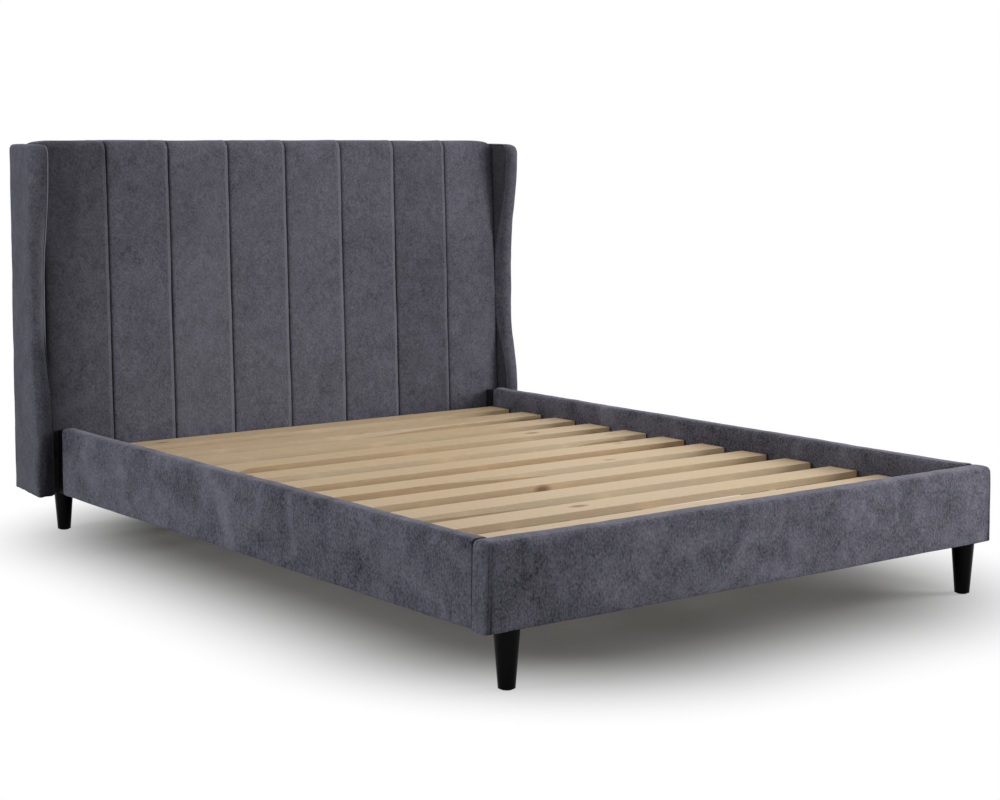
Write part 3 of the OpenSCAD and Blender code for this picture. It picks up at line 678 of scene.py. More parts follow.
def mesh_piece(
    name: str,
    points: Iterable[Iterable[float]],
    faces: Faces,
    finish: Finish,
    painted_shading: Optional[list[float]] = None,
) -> Piece:
    """Make a smooth mesh object that rides on the bed's body.

    Args:
        name: The piece's name.
        points: Its vertices.
        faces: Its faces.
        finish: Its finish.
        painted_shading: How much painted shade each vertex has, from 0 to 1, or below 0
            how much painted highlight, down to -1.

    Returns:
        The new object.
    """
    mesh = bpy.data.meshes.new(name)
    mesh.from_pydata([tuple(point) for point in points], [], faces)
    # Stored in the crease attribute, which the velvet reads as painted shading
    if painted_shading is not None:
        mesh.attributes.new("crease", "FLOAT", "POINT").data.foreach_set("value", painted_shading)
    shell = bmesh.new()
    shell.from_mesh(mesh)
    bmesh.ops.recalc_face_normals(shell, faces=shell.faces)
    for face in shell.faces:
        face.smooth = True
    shell.to_mesh(mesh)
    shell.free()
    mesh.materials.append(finish.material())
    piece = add_object(name, mesh)
    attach(piece, BODY)
    return piece


def rumple(piece: Piece, layers: Iterable[Pair], seed: float) -> None:
    """Move a piece's vertices along their normals by smooth noise, as slack cloth lies.

    Args:
        piece: The object.
        layers: Height and size of each layer of noise, in millimetres.
        seed: Where in the noise the piece lies.
    """
    mesh = piece.data
    count = len(mesh.vertices)
    places, normals = np.zeros(count * 3), np.zeros(count * 3)
    mesh.vertices.foreach_get("co", places)
    mesh.vertex_normals.foreach_get("vector", normals)
    places, normals = places.reshape(-1, 3), normals.reshape(-1, 3)
    lift = np.zeros(count)
    for height, size in layers:
        shifted = places / (size * MM) + seed
        lift += height * MM * np.array([noise.noise(Vector(p)) for p in shifted])
    mesh.vertices.foreach_set("co", (places + normals * lift[:, None]).ravel())
    mesh.update()


def swell(
    piece: Piece,
    sewn: Callable[[Vector], float],
    cap: float,
    pressure: float = 2.0,
    cell: float = 0.012,
    frames: int = 12,
    nearest: int = 4,
    blend: float = 0.002,
) -> None:
    """Let a cover swell over its padding, by a cloth simulation with its seams held.

    An evenly meshed copy is simulated, and the piece takes over how far each place of the
    copy moved, so that the seams and folds of the piece stay as they were sewn.

    Args:
        piece: The cover.
        sewn: How firmly the cover is held at a place, from 0 to 1.
        cap: How far a place may move.
        pressure: The padding's pressure.
        cell: The size of the copy's cells.
        frames: How many frames it is simulated for.
        nearest: How many of the copy's places each vertex follows.
        blend: A length that evens out the shares of those places.
    """
    scene = bpy.context.scene
    shell = bmesh.new()
    shell.from_mesh(piece.data)
    bmesh.ops.holes_fill(shell, edges=shell.edges)
    bmesh.ops.triangulate(shell, faces=shell.faces)
    closed = bpy.data.meshes.new("closed_cover")
    shell.to_mesh(closed)
    shell.free()
    bag = add_object("closed_cover", closed)
    even = bag.modifiers.new("even", "REMESH")
    even.mode, even.voxel_size = "VOXEL", cell
    evaluated = bag.evaluated_get(bpy.context.evaluated_depsgraph_get())
    bag.data = bpy.data.meshes.new_from_object(evaluated)
    bag.modifiers.clear()
    start = [vertex.co.copy() for vertex in bag.data.vertices]
    seams = bag.vertex_groups.new(name="sewn")
    for i, place in enumerate(start):
        seams.add([i], sewn(place), "REPLACE")
    cloth = bag.modifiers.new("velvet", "CLOTH")
    cloth.settings.vertex_group_mass = "sewn"
    cloth.settings.use_pressure = True
    cloth.settings.uniform_pressure_force = pressure
    cloth.settings.effector_weights.gravity = 0.0
    cloth.settings.quality = 4
    cloth.point_cache.frame_end = frames
    for frame in range(1, frames + 1):
        scene.frame_set(frame)
    blown = bag.evaluated_get(bpy.context.evaluated_depsgraph_get()).data
    tree, moves = KDTree(len(start)), []
    for i, place in enumerate(start):
        move = blown.vertices[i].co - place
        far = max(move.length, 1e-9)
        moves.append(move * (cap * math.tanh(far / cap) / far))
        tree.insert(place, i)
    tree.balance()
    for vertex in piece.data.vertices:
        near = tree.find_n(vertex.co, nearest)
        shares = [1 / (distance + blend) for _, _, distance in near]
        move = sum((moves[i] * w for (_, i, _), w in zip(near, shares)), Vector()) / sum(shares)
        vertex.co += move * (1 - sewn(vertex.co))
    piece.data.update()
    most = max(move.length for move in moves) / MM
    LOG.info("%s swells by %.1f mm at most, at %d places", piece.name, most, len(start))
    scene.frame_set(1)
    bpy.data.objects.remove(bag)


def tube(
    name: str,
    path: list[Vector],
    radius: float,
    finish: Finish,
    painted_shading: list[float],
    sides: int = 8,
) -> Piece:
    """Make a round tube along a path, closed at both ends.

    Args:
        name: The piece's name.
        path: The points it follows.
        radius: Its radius.
        finish: Its finish.
        painted_shading: The painted shade at each point, below 0 a painted highlight.
        sides: The number of its sides.

    Returns:
        The new object.
    """
    points, up = [], Vector((1.0, 0.0, 0.0))
    for i, place in enumerate(path):
        ahead = (path[min(i + 1, len(path) - 1)] - path[max(i - 1, 0)]).normalized()
        side = ahead.cross(up).normalized()
        above = side.cross(ahead)
        for k in range(sides):
            a = 2 * math.pi * k / sides
            points.append(place + radius * (math.cos(a) * side + math.sin(a) * above))
    faces = loft(len(path), sides, capped=True)
    return mesh_piece(name, points, faces, finish, np.repeat(painted_shading, sides).tolist())


def staples(
    name: str,
    places: list[tuple[Vector, Vector, Vector]],
    crown: float = 0.011,
    wire: float = 0.0006,
) -> Piece:
    """Make a row of wire staples, pressed into what they hold.

    Args:
        name: The piece's name.
        places: Each staple's middle, the way its crown runs and the way out.
        crown: The crown's length.
        wire: The wire's radius.

    Returns:
        One object with every staple.
    """
    points, faces = [], []
    bends = ((-0.5, -0.6), (-0.46, 0.5), (0.46, 0.5), (0.5, -0.6))
    for middle, way, out in places:
        side, first = way.cross(out), len(points)
        for along, high in bends:
            core = middle + way * along * crown + out * high * wire
            for a in range(6):
                angle = math.radians(60 * a)
                points.append(core + wire * (math.cos(angle) * side + math.sin(angle) * out * 0.7))
        faces += [tuple(first + i for i in f) for f in loft(len(bends), 6)]
    piece = mesh_piece(name, points, faces, ZINC_PLATE)
    return piece


@dataclass
class BedSizes:
    """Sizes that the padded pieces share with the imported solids."""

    foot_y: float = -1.127
    deck_y: float = -1.070
    back_y: float = 1.127
    panel_y: float = 0.965
    wing_y: float = 0.920
    rail_x: float = 0.800
    inner_x: float = 0.755
    core_in_x: float = 0.765
    core_out_x: float = 0.787
    leg_h: float = 0.130
    rail_top: float = 0.323
    slat_z: float = 0.244
    slat_top: float = 0.262
    frame_top: float = 1.122
    headboard_h: float = 1.150
    wing_top: float = 1.138
    lean: float = math.tan(math.radians(2.0))
    splay: float = math.tan(math.radians(6.6))
    wing_foot_x: float = 0.874
    wing_t: float = 0.051
    wing_gap: float = 0.0003

    def panel_front(self, z: float) -> float:
        """Return where the pad's front is at a height."""
        return self.panel_y + (z - self.slat_top) * self.lean

    def wing_x(self, y: float) -> float:
        """Return where a wing's outer face is at a depth."""
        return self.wing_foot_x - (y - self.wing_y) * self.splay

    def head_side_x(self, y: float) -> float:
        """Return where the headboard meets a wing's inner face at a depth."""
        return self.wing_x(y) - self.wing_t - self.wing_gap


@dataclass
class HeadboardPad:
    """The channelled pad: foam and velvet with pin tucks sewn between the channels."""

    sizes: BedSizes
    channels: int = 8
    rows: int = 84
    pad_t: float = 0.028
    pad_z: float = 0.236
    foot_r: float = 0.010
    top_r: float = 0.030
    back_r: float = 0.012
    shoulder_w: float = 0.065
    shoulder_drop: float = 0.011
    drop_from: float = 0.12  # how far below the top the shoulders' drop begins
    drop_front: float = 0.4  # the share of the drop that the front takes up
    steps_mm: tuple[float, ...] = (
        0, 0.6, 1.2, 1.8, 2.5, 3.3, 4.3, 5.6, 7.5, 10, 14, 20, 29, 42, 60, 82,
    )
    # Forms past a tuck in millimetres: a height or depth, its middle where it has one, its width
    lip: Triple = (1.6, -2.6, 3.0)
    trough: Triple = (0.5, -8.0, 3.0)
    groove: Triple = (5.2, 1.8, 6.0)
    groove_drop: float = 1.2
    hollow_left: Pair = (0.8, 14.0)
    hollow_right: Pair = (1.2, 24.0)
    edge_hollows: tuple[Pair, ...] = ((5.5, 4.0), (2.0, 18.0))
    pucker: Pair = (0.5, 13.0)
    # Painted shade and highlight past a seam: how much, then the middle and the widths as above
    dark_groove: tuple[float, float, float, float] = (0.97, 2.2, 2.5, 4.2)
    light_fold: Triple = (0.52, -5.2, 3.8)
    # Painted shade along the pad's own edges beside the wings: at the edge, left wing, right wing
    dark_edge: Pair = (0.45, 3.0)
    dark_left: Pair = (0.30, 130.0)
    dark_right: Pair = (0.25, 14.0)
    darkest: float = 0.94
    # Each channel's strip is darker or lighter; the first has painted shade from the left wing
    strips: tuple[float, ...] = (0.28, 0.08, -0.07, -0.04, -0.06, 0.0, 0.12, -0.02)
    # Painted shade and light lower down: from what height, by strip, and beside each wing
    leant_on: Pair = (0.95, 0.20)
    leant_strips: Pair = (0.04, -0.16)
    left_wing: Triple = (0.63, -0.07, 25)
    right_wing: Pair = (0.6, 45)
    right_wing_z: Pair = (0.93, 0.12)

    def __post_init__(self) -> None:
        """Work out the channels' width between the wings."""
        top = self.sizes.panel_front(self.sizes.headboard_h)
        self.channel_w = 2 * self.sizes.head_side_x(top) / self.channels

    def columns(self) -> list[Pair]:
        """Return the columns across the pad.

        Returns:
            Each column's place in channels, and its distance past the nearest seam in
            millimetres, negative on the seam's left.
        """
        width = self.channel_w / MM
        found = []
        for channel in range(self.channels):
            found += [(channel + s / width, s) for s in self.steps_mm]
            found.append((channel + 0.5, width / 2))
            found += [(channel + 1 - s / width, -s) for s in reversed(self.steps_mm[1:])]
        return found + [(float(self.channels), 0.0)]

    def section(self) -> list[tuple[float, float, float, float, float, float]]:
        """Return the pad's section from its lower back edge round the front and over the top.

        Returns:
            For each point its y and z, its outward normal's y and z, its share of the
            tucks' depth and its share of the shoulders' drop.
        """
        s, h = self.sizes, self.sizes.headboard_h
        front = s.panel_front
        rows = [(front(self.pad_z) + self.pad_t, self.pad_z, 0.0, -1.0, 0.0, 0.0)]
        for i in range(7):
            a = math.radians(15 * i)
            y = front(self.pad_z) + self.foot_r * (1 - math.sin(a))
            z = self.pad_z + self.foot_r * (1 - math.cos(a))
            rows.append((y, z, -math.sin(a), -math.cos(a), i / 6, 0.0))
        low, high = self.pad_z + self.foot_r, h - self.top_r
        for z in between(low, high, self.rows):
            t = (z - (h - self.drop_from)) / (high - (h - self.drop_from))
            rows.append((front(z), z, -1.0, 0.0, 1.0, self.drop_front * max(0.0, t)))
        for i in range(10):
            a = math.radians(10 * i)
            y = front(high) + self.top_r * (1 - math.cos(a))
            z = h - self.top_r * (1 - math.sin(a))
            fall = self.drop_front + (1 - self.drop_front) * i / 9
            rows.append((y, z, -math.cos(a), math.sin(a), 1 - 0.25 * i / 9, fall))
        for i, y in enumerate(between(front(high) + self.top_r, s.back_y - self.back_r, 6), 1):
            rows.append((y, h, 0.0, 1.0, 0.75 - 0.05 * i, 1.0))
        for i in range(6):
            a = math.radians(18 * i)
            y = s.back_y - self.back_r * (1 - math.sin(a))
            z = h - self.back_r * (1 - math.cos(a))
            rows.append((y, z, math.sin(a), math.cos(a), 0.45 - 0.09 * i, 1 - i / 5))
        rows.append((s.back_y, s.frame_top, 1.0, 0.0, 0.0, 0.0))
        rows.append((front(s.frame_top) + self.pad_t, s.frame_top, 1.0, 0.0, 0.0, 0.0))
        return rows

    def lift_mm(self, past: float, tucked: bool) -> float:
        """Return how far the cloth stands out past a seam, in millimetres.

        Args:
            past: The distance past the seam, negative on its left.
            tucked: Whether it is a pin tuck, and not the pad's own edge.

        Returns:
            The cloth's height: a folded lip on the left of a tuck, which drops into a
            groove on its right, from which the next channel rises.
        """
        if not tucked:
            return -sum(fading(abs(past), *hollow) for hollow in self.edge_hollows)
        lip = hump(past, *self.lip, power=4)
        if past < 0:
            return lip - hump(past, *self.trough) - fading(-past, *self.hollow_left)
        groove = hump(max(self.groove[1], past), *self.groove, power=1.1)
        groove *= min(1.0, past / self.groove_drop)
        return lip - groove - fading(past, *self.hollow_right)

    def crease(self, past: float, tucked: bool, u: float) -> float:
        """Return the painted shade past a seam, and the painted highlight on a tuck's fold.

        Args:
            past: The distance past the seam in millimetres, negative on its left.
            tucked: Whether it is a pin tuck, and not the pad's own edge.
            u: The place across the pad, in channels.

        Returns:
            The painted shading: a narrow painted highlight on the fold and narrow painted shade in
            the groove on its right, or painted shade towards the pad's own edge beside a wing.
        """
        if tucked:
            dark, middle, left, right = self.dark_groove
            groove = hump(past, dark, middle, left if past < middle else right)
            return groove - hump(past, *self.light_fold, power=4)
        wide = self.dark_left if u < 1 else self.dark_right
        return fading(abs(past), *self.dark_edge) + fading(abs(past), *wide)

    def pressed(self, u: float, distance: float, z: float) -> float:
        """Return the painted shade of a place by its strip, lower down and by the wings.

        Args:
            u: The place across the pad, in channels.
            distance: Its distance from the nearest seam in millimetres.
            z: Its height.

        Returns:
            The painted shade: the strip's own, lighter on the left and darker on the right lower
            down, and more beside a wing.
        """
        low = smooth_step((self.leant_on[0] - z) / self.leant_on[1])
        more, first = self.leant_strips
        strip = self.strips[min(self.channels - 1, int(u))] + (more * u + first) * low
        if u < 0.5:
            low_shade, always, reach = self.left_wing
            return strip + fading(distance, low_shade * low + always, reach)
        if u > self.channels - 0.5:
            return strip + rise(z, fading(distance, *self.right_wing), *self.right_wing_z)
        return strip

    def sewn(self, place: Vector) -> float:
        """Return how firmly the pad's cover is held at a place.

        Args:
            place: The place.

        Returns:
            1 at the seams, over the top and at the foot, and 0 between them.
        """
        u = place.x / self.channel_w + self.channels / 2
        behind = place.y - self.sizes.panel_front(place.z)
        seam = held(abs(u - round(u)) * self.channel_w, 0.012, 0.045)
        foot = held(place.z - self.pad_z, 0.004, 0.06)
        return max(seam, smooth_step((behind - 0.002) / 0.018), foot)

    def build(self) -> list[Piece]:
        """Build the pad and put it in the place of its solid.

        Returns:
            The pad.
        """
        s, section = self.sizes, self.section()
        last = (self.channels / 2 - 1) * self.channel_w
        half = self.channels * self.channel_w / 2
        points, painted_shading = [], []
        for u, past in self.columns():
            tucked, distance = 0.5 < u < self.channels - 0.5, abs(past)
            x = (u - self.channels / 2) * self.channel_w
            t = (abs(x) - half + self.shoulder_w) / self.shoulder_w
            drop = self.shoulder_drop * (1 - math.sqrt(max(0.0, 1 - max(0.0, t) ** 2)))
            over = max(0.0, abs(x) - last) / self.channel_w
            lift = self.lift_mm(past, tucked)
            crease = self.crease(past, tucked, u)
            for y, z, ny, nz, share, fall in section:
                ripple = math.sin(z * 190 + 3 * math.sin(z * 31 + u * 5))
                pucker = fading(distance, *self.pucker) * ripple
                out = (lift * share + pucker * share) * MM
                yy = y + ny * out
                side = x
                if over > 0:
                    side = math.copysign(last + over * (s.head_side_x(yy) - last), x)
                points.append((side, yy, z + nz * out - fall * drop))
                dark = min(self.darkest, crease + self.pressed(u, distance, z))
                painted_shading.append(dark * share)
        faces = loft(len(points) // len(section), len(section), capped=True)
        pad = mesh_piece("channelled_pad", points, faces, VELVET, painted_shading)
        rumple(pad, [(2.0, 190.0), (0.7, 60.0)], 3.7)
        swell(pad, self.sewn, 3.0 * MM, 2.4, 0.014)
        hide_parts("headboard_pad")
        return [pad]


@dataclass
class Wing:
    """A padded wing: velvet round a board, with a corded seam along its inner front edge."""

    sizes: BedSizes
    side: Side
    waist: float = 0.044
    waist_share: float = 0.47
    waist_flat: float = 0.130
    waist_slant: float = 0.026
    top_set: float = 0.003
    corner_r: float = 0.035
    edge_r: float = 0.013
    front_r: float = 0.019
    foot_front_r: float = 0.010
    back_r: float = 0.002
    back_wrap: float = 0.0018
    crown: float = 0.0055
    # The turn of the foot: heights above it and how far each is drawn in
    foot_turn: tuple[Pair, ...] = (
        (-0.0012, 0.013), (-0.0012, 0.007), (0.0, 0.0035), (0.0015, 0.0012), (0.004, 0.0),
    )
    # The fold at the seam: where it starts behind the front, and its steps inwards and forwards
    fold_back: float = 0.0030
    fold: tuple[Pair, ...] = ((0.0, 0.0), (0.0004, 0.0016), (0.0018, 0.0027))
    cord_r: float = 0.0023
    cord_sunk: float = 0.0010
    cord_out: float = 0.0008
    cord_in: float = 0.0035
    # Painted shade and highlight on the inner face: how much, then the middle and the width
    inner_nap: float = 0.57
    seam_nap: Triple = (0.3, 0.0, 0.006)
    edge_light: Pair = (0.12, 0.03)
    # Painted shade across the front the same way, whose widths are shares of its own
    front_w: float = 0.045
    front_nap: float = 0.48
    right_front: Pair = (0.25, 0.7)
    right_range: Pair = (1.38, 1.0)
    left_front: Pair = (0.08, 0.9)
    left_low: Pair = (0.62, 0.09)
    left_sunk: tuple[Triple, ...] = ((0.28, 0.0, 0.15), (0.40, 0.0, 0.7))
    left_waist: Triple = (0.36, 0.0, 0.25)

    def __post_init__(self) -> None:
        """Work out the heights of the waist and the top lip."""
        s = self.sizes
        self.waist_low = s.leg_h + self.waist_share * (s.wing_top - s.leg_h)
        self.waist_high = self.waist_low + self.waist_flat
        self.lip = s.wing_top - 1.4 * self.corner_r

    def drawn_back(self, z: float) -> float:
        """Return how far the waist draws the front edge back.

        Args:
            z: The height.

        Returns:
            How far, from nothing at the rail's top to the most at the waist.
        """
        s = self.sizes
        if z < self.waist_high:
            return self.waist * smooth_step((z - s.rail_top) / (self.waist_low - s.rail_top))
        t = (z - self.waist_high) / (self.lip - self.waist_high)
        return self.waist - (self.waist - self.top_set) * smooth_step(t)

    def front(self, z: float) -> float:
        """Return where the wing's front edge is, seen from the side.

        Args:
            z: The height.

        Returns:
            Its y, with the waist and the rounded top corner.
        """
        above = z - (self.sizes.wing_top - self.corner_r)
        rounded = self.corner_r - math.sqrt(max(0.0, self.corner_r**2 - above**2))
        return self.sizes.wing_y + self.drawn_back(z) + (rounded if above > 0 else 0.0)

    def risen(self, z: float) -> float:
        """Return how far a height is up the foot's taper, from 0 to 1."""
        return smooth_step((z - self.sizes.leg_h) / 0.22)

    def crowned(self, z: float) -> Pair:
        """Return how far the front's outer edge stands before the front line at a height.

        Args:
            z: The height.

        Returns:
            How far the outer edge is forward, and how far back from there the inner edge is.
        """
        slant = self.waist_slant * (self.drawn_back(z) / self.waist) ** 2
        return 0.5 * slant, self.crown * (0.45 + 0.55 * self.risen(z)) + slant

    def ring(self, z: float, inset: float) -> list[Pair]:
        """Return one level of the cover as pairs of depth from the outer face and y.

        Args:
            z: The level's height.
            inset: How far the level is drawn in.

        Returns:
            The points, from the inner back corner forwards, round the crowned front to
            the outer face and along the back.
        """
        s, r, steps = self.sizes, self.back_r, 12
        forward, crown = self.crowned(z)
        front = self.front(z) - forward + inset * 0.4
        r_out = self.foot_front_r + (self.front_r - self.foot_front_r) * self.risen(z)
        r_out = max(0.002, r_out - inset * 0.7)
        crown = max(0.0, crown - inset * 0.3)
        back = s.back_y + self.back_wrap
        inner, outer = s.wing_t - inset, inset
        points = arc((inner - r, back - r), r, 90, -90, 2)
        seam = front + crown + self.fold_back
        points += [(inner, y) for y in between(back - r, seam, steps)]
        points += [(inner - across, seam - ahead) for across, ahead in self.fold]
        x0, x1 = points[-1][0], outer + r_out
        rest = self.fold_back - self.fold[-1][1]
        for x, u in zip(between(x0, x1, 9), between(0, 1, 9)):
            points.append((x, front + crown * (1 - u) ** 2 + rest * (1 - u)))
        points += arc((outer + r_out, front + r_out), r_out, 270, -90, 9)
        points += [(outer, y) for y in between(front + r_out, back - r, steps)]
        points += arc((outer + r, back - r), r, 180, -90, 2)
        points += [(x, back) for x in between(outer + r, inner - r, 4)]
        return points

    def levels(self) -> list[Pair]:
        """Return the rings that the cover is lofted through.

        Returns:
            Each ring's height and how far it is drawn in.
        """
        s, r = self.sizes, self.edge_r
        low = [(s.leg_h + up, inset) for up, inset in self.foot_turn]
        body = [(z, 0.0) for z in between(low[-1][0], s.wing_top - r, 92)]
        turns = [math.radians(a) for a in range(0, 91, 10)]
        crown = [(s.wing_top - r * (1 - math.sin(a)), r * (1 - math.cos(a))) for a in turns]
        return low + body + crown

    def place(self, depth: float, y: float, z: float) -> Triple:
        """Return a point of the wing from its depth, y and z, on this wing's side."""
        return (self.side.value * (self.sizes.wing_x(y) - depth), y, z)

    # Painted shade and painted highlight on the wing's cover
    def nap(self, depth: float, behind: float, inset: float, z: float) -> float:
        """Return the painted shade at a place of the cover.

        Args:
            depth: The place's depth from the outer face.
            behind: How far it is behind the front edge.
            inset: How far its level is drawn in.
            z: The place's height.

        Returns:
            The painted shade: dark on the inner face, lighter near its front edge, less across
            the front, least at the waist, most beside the rail, and none on the outer face.
        """
        inward = (depth - inset) / (self.sizes.wing_t - 2 * inset)
        if inward > 0.97:
            return self.inner_nap + hump(behind, *self.seam_nap) - fading(behind, *self.edge_light)
        if behind > self.front_w:
            return 0.0
        waisted = self.drawn_back(z) / self.waist
        if self.side is Side.RIGHT:
            most, less = self.right_range
            return rise(inward, self.front_nap, *self.right_front) * (most - less * waisted)
        front = rise(inward, self.front_nap, *self.left_front)
        low = smooth_step((self.left_low[0] - z) / self.left_low[1])
        front += low * (sum(rise(inward, *sunk) for sunk in self.left_sunk) - front)
        turned = rise(inward, *self.left_waist) * (1 - 0.95 * inward)
        return front + waisted * (1 - low) * (turned - front)

    def sewn(self, place: Vector) -> float:
        """Return how firmly the wing's cover is held at a place.

        Args:
            place: The place.

        Returns:
            1 at the hem, the top, the back edge, the corded seam and where it meets the pad.
        """
        s = self.sizes
        past_seam = s.wing_t - (s.wing_x(place.y) - abs(place.x))
        ends = max(held(place.z - s.leg_h, 0.006, 0.05), held(s.wing_top - place.z, 0.01, 0.05))
        ends = max(ends, held(s.back_y - place.y, 0.006, 0.04))
        seam = held(math.hypot(past_seam, place.y - self.front(place.z)), 0.006, 0.022)
        on_pad = past_seam < 0.2 * s.wing_t and place.y > s.panel_front(place.z) - 0.01
        return 1.0 if on_pad else max(ends, seam)

    def cover(self) -> Piece:
        """Build the velvet cover, hemmed under the foot.

        Returns:
            The cover.
        """
        s, levels = self.sizes, self.levels()
        points, painted_shading = [], []
        for level, (z, inset) in enumerate(levels):
            ring = self.ring(max(z, s.leg_h), inset)
            for depth, y in ring:
                stuffed = 0.5 * MM * math.sin(math.pi * min(1.0, max(0.0, (y - s.wing_y) / 0.2)))
                d = depth - stuffed if depth < 0.005 and inset <= 0 else depth
                slack = noise.noise(Vector((y * 45, depth * 60, 4.0 + self.side.value)))
                wave = 1.6 * MM * slack if level < 6 else 0.0
                points.append(self.place(d, y, z + wave))
                painted_shading.append(self.nap(depth, y - self.front(max(z, s.leg_h)), inset, z))
        count = len(ring)
        top = len(points) - count
        rim = [Vector(point) for point in points[top:]]
        for k, corner in enumerate(rim):
            points.append((corner + rim[(count - 2 - k) % count]) / 2 + Vector((0, 0, 0.0006)))
        painted_shading += [0.0] * count
        faces = loft(len(levels), count)
        for k in range(count):
            n = (k + 1) % count
            faces.append((top + k, top + n, top + count + n, top + count + k))
        word = self.side.word
        piece = mesh_piece(f"wing_cover_cloth_{word}", points, faces, VELVET, painted_shading)
        rumple(piece, [(1.6, 120.0), (0.7, 38.0)], 9.1 + self.side.value)
        swell(piece, self.sewn, 2.0 * MM)
        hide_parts(f"wing_cover_{word}")
        return piece

    def piping(self) -> Piece:
        """Build the welt cord sewn into the seam, up the inner front edge and over the top.

        Returns:
            The cord.
        """
        s, sunk = self.sizes, self.cord_sunk
        path = []
        for i in range(90):
            z = s.leg_h + 0.002 + (s.wing_top - self.corner_r - s.leg_h) * i / 89
            forward, crown = self.crowned(z)
            path.append((self.front(z) - forward + crown + sunk, z))
        reach = self.corner_r - sunk
        y0, z0 = path[-1][0] + reach, s.wing_top - self.corner_r
        turns = [math.radians(a) for a in range(6, 91, 6)]
        path += [(y0 - reach * math.cos(a), z0 + reach * math.sin(a)) for a in turns]
        path += [(y0 + (s.back_y - 0.004 - y0) * i / 10, path[-1][1]) for i in range(1, 11)]
        route, cord_shading = [], []
        for y, z in path:
            top = max(0.0, z - (s.wing_top - self.edge_r)) / self.edge_r
            depth = s.wing_t - sunk - self.cord_in * top + self.cord_out * (1 - top)
            route.append(Vector(self.place(depth, y, min(z, s.wing_top - self.cord_in))))
            # Left cord: painted shade low down, painted highlight higher up; right cord: painted
            # shade
            waisted = self.drawn_back(z) / self.waist
            light = 0.8 - (1.45 + 0.3 * waisted) * smooth_step((z - 0.52) / 0.1)
            cord_shading.append(light if self.side is Side.LEFT else 0.52)
        piece = tube(f"wing_piping_{self.side.word}", route, self.cord_r, VELVET, cord_shading)
        return piece

    def build(self) -> list[Piece]:
        """Build the wing's cover and its cord."""
        return [self.cover(), self.piping()]


@dataclass
class PaddedBoard:
    """The section of a padded board: an inverted U that is hemmed under at both sides."""

    low: float
    high: float
    bottom: float
    top: float
    edge_r: float = 0.011
    foot_r: float = 0.004
    hem: float = 0.020
    hem_t: float = 0.0012
    crown: float = 0.0008
    bulge: float = 0.0006
    rows: int = 13

    def points(self, side_in: float, top_in: float, foot_in: float) -> list[Pair]:
        """Return the section's points.

        Args:
            side_in: How far the sides are drawn in.
            top_in: How far the top is drawn in.
            foot_in: How far the foot is drawn in.

        Returns:
            Pairs of a place across the board and a height, from one hem to the other.
        """
        a, b = self.low + side_in, self.high - side_in
        z0, z1 = self.bottom + foot_in, self.top - top_in
        r, f = min(self.edge_r, (b - a) / 2 - 0.001), self.foot_r
        under, turn = self.bottom - self.hem_t + foot_in, z0 - self.hem_t / 2
        bulge = [self.bulge * math.sin(math.pi * t) for t in between(0, 1, self.rows)]
        found = [(a + self.hem, under), (a + 0.6 * self.hem, under), (a + f, turn)]
        found += arc((a + f, z0 + f), f, 270, -90, 3)
        rising = between(z0 + f, z1 - r, self.rows)
        found += [(a - 0.5 * out, z) for out, z in zip(bulge, rising)]
        found += arc((a + r, z1 - r), r, 180, -90, 6)
        found += [(x, z1 + self.crown) for x in between(a + r, b - r, 4)]
        found += arc((b - r, z1 - r), r, 90, -90, 6)
        falling = between(z1 - r, z0 + f, self.rows)
        found += [(b + out, z) for out, z in zip(bulge, falling)]
        found += arc((b - f, z0 + f), f, 0, -90, 3)
        found += [(b - f, turn), (b - 0.6 * self.hem, under), (b - self.hem, under)]
        return found

    def sewn(self, across: float, z: float) -> float:
        """Return how firmly the cover is held at a place.

        Args:
            across: The place across the board.
            z: Its height.

        Returns:
            1 at the hems, and inside up to the slats' tops.
        """
        inside = abs(across) < (abs(self.low) + abs(self.high)) / 2
        hems = held(z - self.bottom, 0.006, 0.04)
        return max(hems, held(z - self.top + 0.06, 0.0, 0.02) * inside)


@dataclass
class SideRail:
    """A padded side rail, rounded at its head end and butted against the footboard."""

    sizes: BedSizes
    side: Side
    stations: int = 150
    end_reach: float = 0.018
    end_depth: float = 0.0105
    butt_reach: float = 0.004
    butt_depth: float = 0.0018
    # Painted shade in the joint where the rail butts against the footboard: width, foot, top
    seam_w: float = 0.0024
    seam_dark: Pair = (0.55, 0.35)  # at the foot and at the top

    def build(self) -> list[Piece]:
        """Build the rail's cover.

        Returns:
            The cover.
        """
        s, word = self.sizes, self.side.word
        y0, y1 = s.deck_y + 0.0002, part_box(f"side_rail_cover_{word}")[1].y
        board = PaddedBoard(s.inner_x, s.rail_x, s.leg_h, s.rail_top)
        near = [0, 0.0004, 0.001, 0.002, 0.0032, 0.005]
        far = [0, 0.0005, 0.0015, 0.003, 0.005, 0.0075, 0.0105, 0.014, 0.018]
        stops = [y0 + e for e in near] + between(y0 + 0.005, y1 - 0.018, self.stations)
        stops += [y1 - e for e in reversed(far)]
        points, painted_shading = [], []
        for y in stops:
            end, start = y1 - y, y - y0
            foot = round_off(end, self.end_reach, self.end_depth)
            drawn = foot + round_off(start, self.butt_reach, self.butt_depth)
            for across, z in board.points(drawn, drawn, foot):
                points.append((self.side.value * across, y, z))
                up = (z - s.leg_h) / (s.rail_top - s.leg_h)
                dark = self.seam_dark[0] + (self.seam_dark[1] - self.seam_dark[0]) * up
                painted_shading.append(hump(start, dark, 0.0, self.seam_w))
        faces = loft(len(stops), len(points) // len(stops), closed=False)
        piece = mesh_piece(f"side_rail_cloth_{word}", points, faces, RUBBED_VELVET, painted_shading)
        rumple(piece, [(1.5, 160.0), (0.6, 45.0)], 21.3 + self.side.value)

        def sewn(place: Vector) -> float:
            """Return how firmly the cover is held at a place, also at its two ends."""
            ends = max(held(y1 - place.y, 0.015, 0.05), held(place.y - y0, 0.008, 0.03))
            return max(ends, board.sewn(abs(place.x), place.z))

        swell(piece, sewn, 1.6 * MM)
        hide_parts(f"side_rail_cover_{word}")
        return [piece]


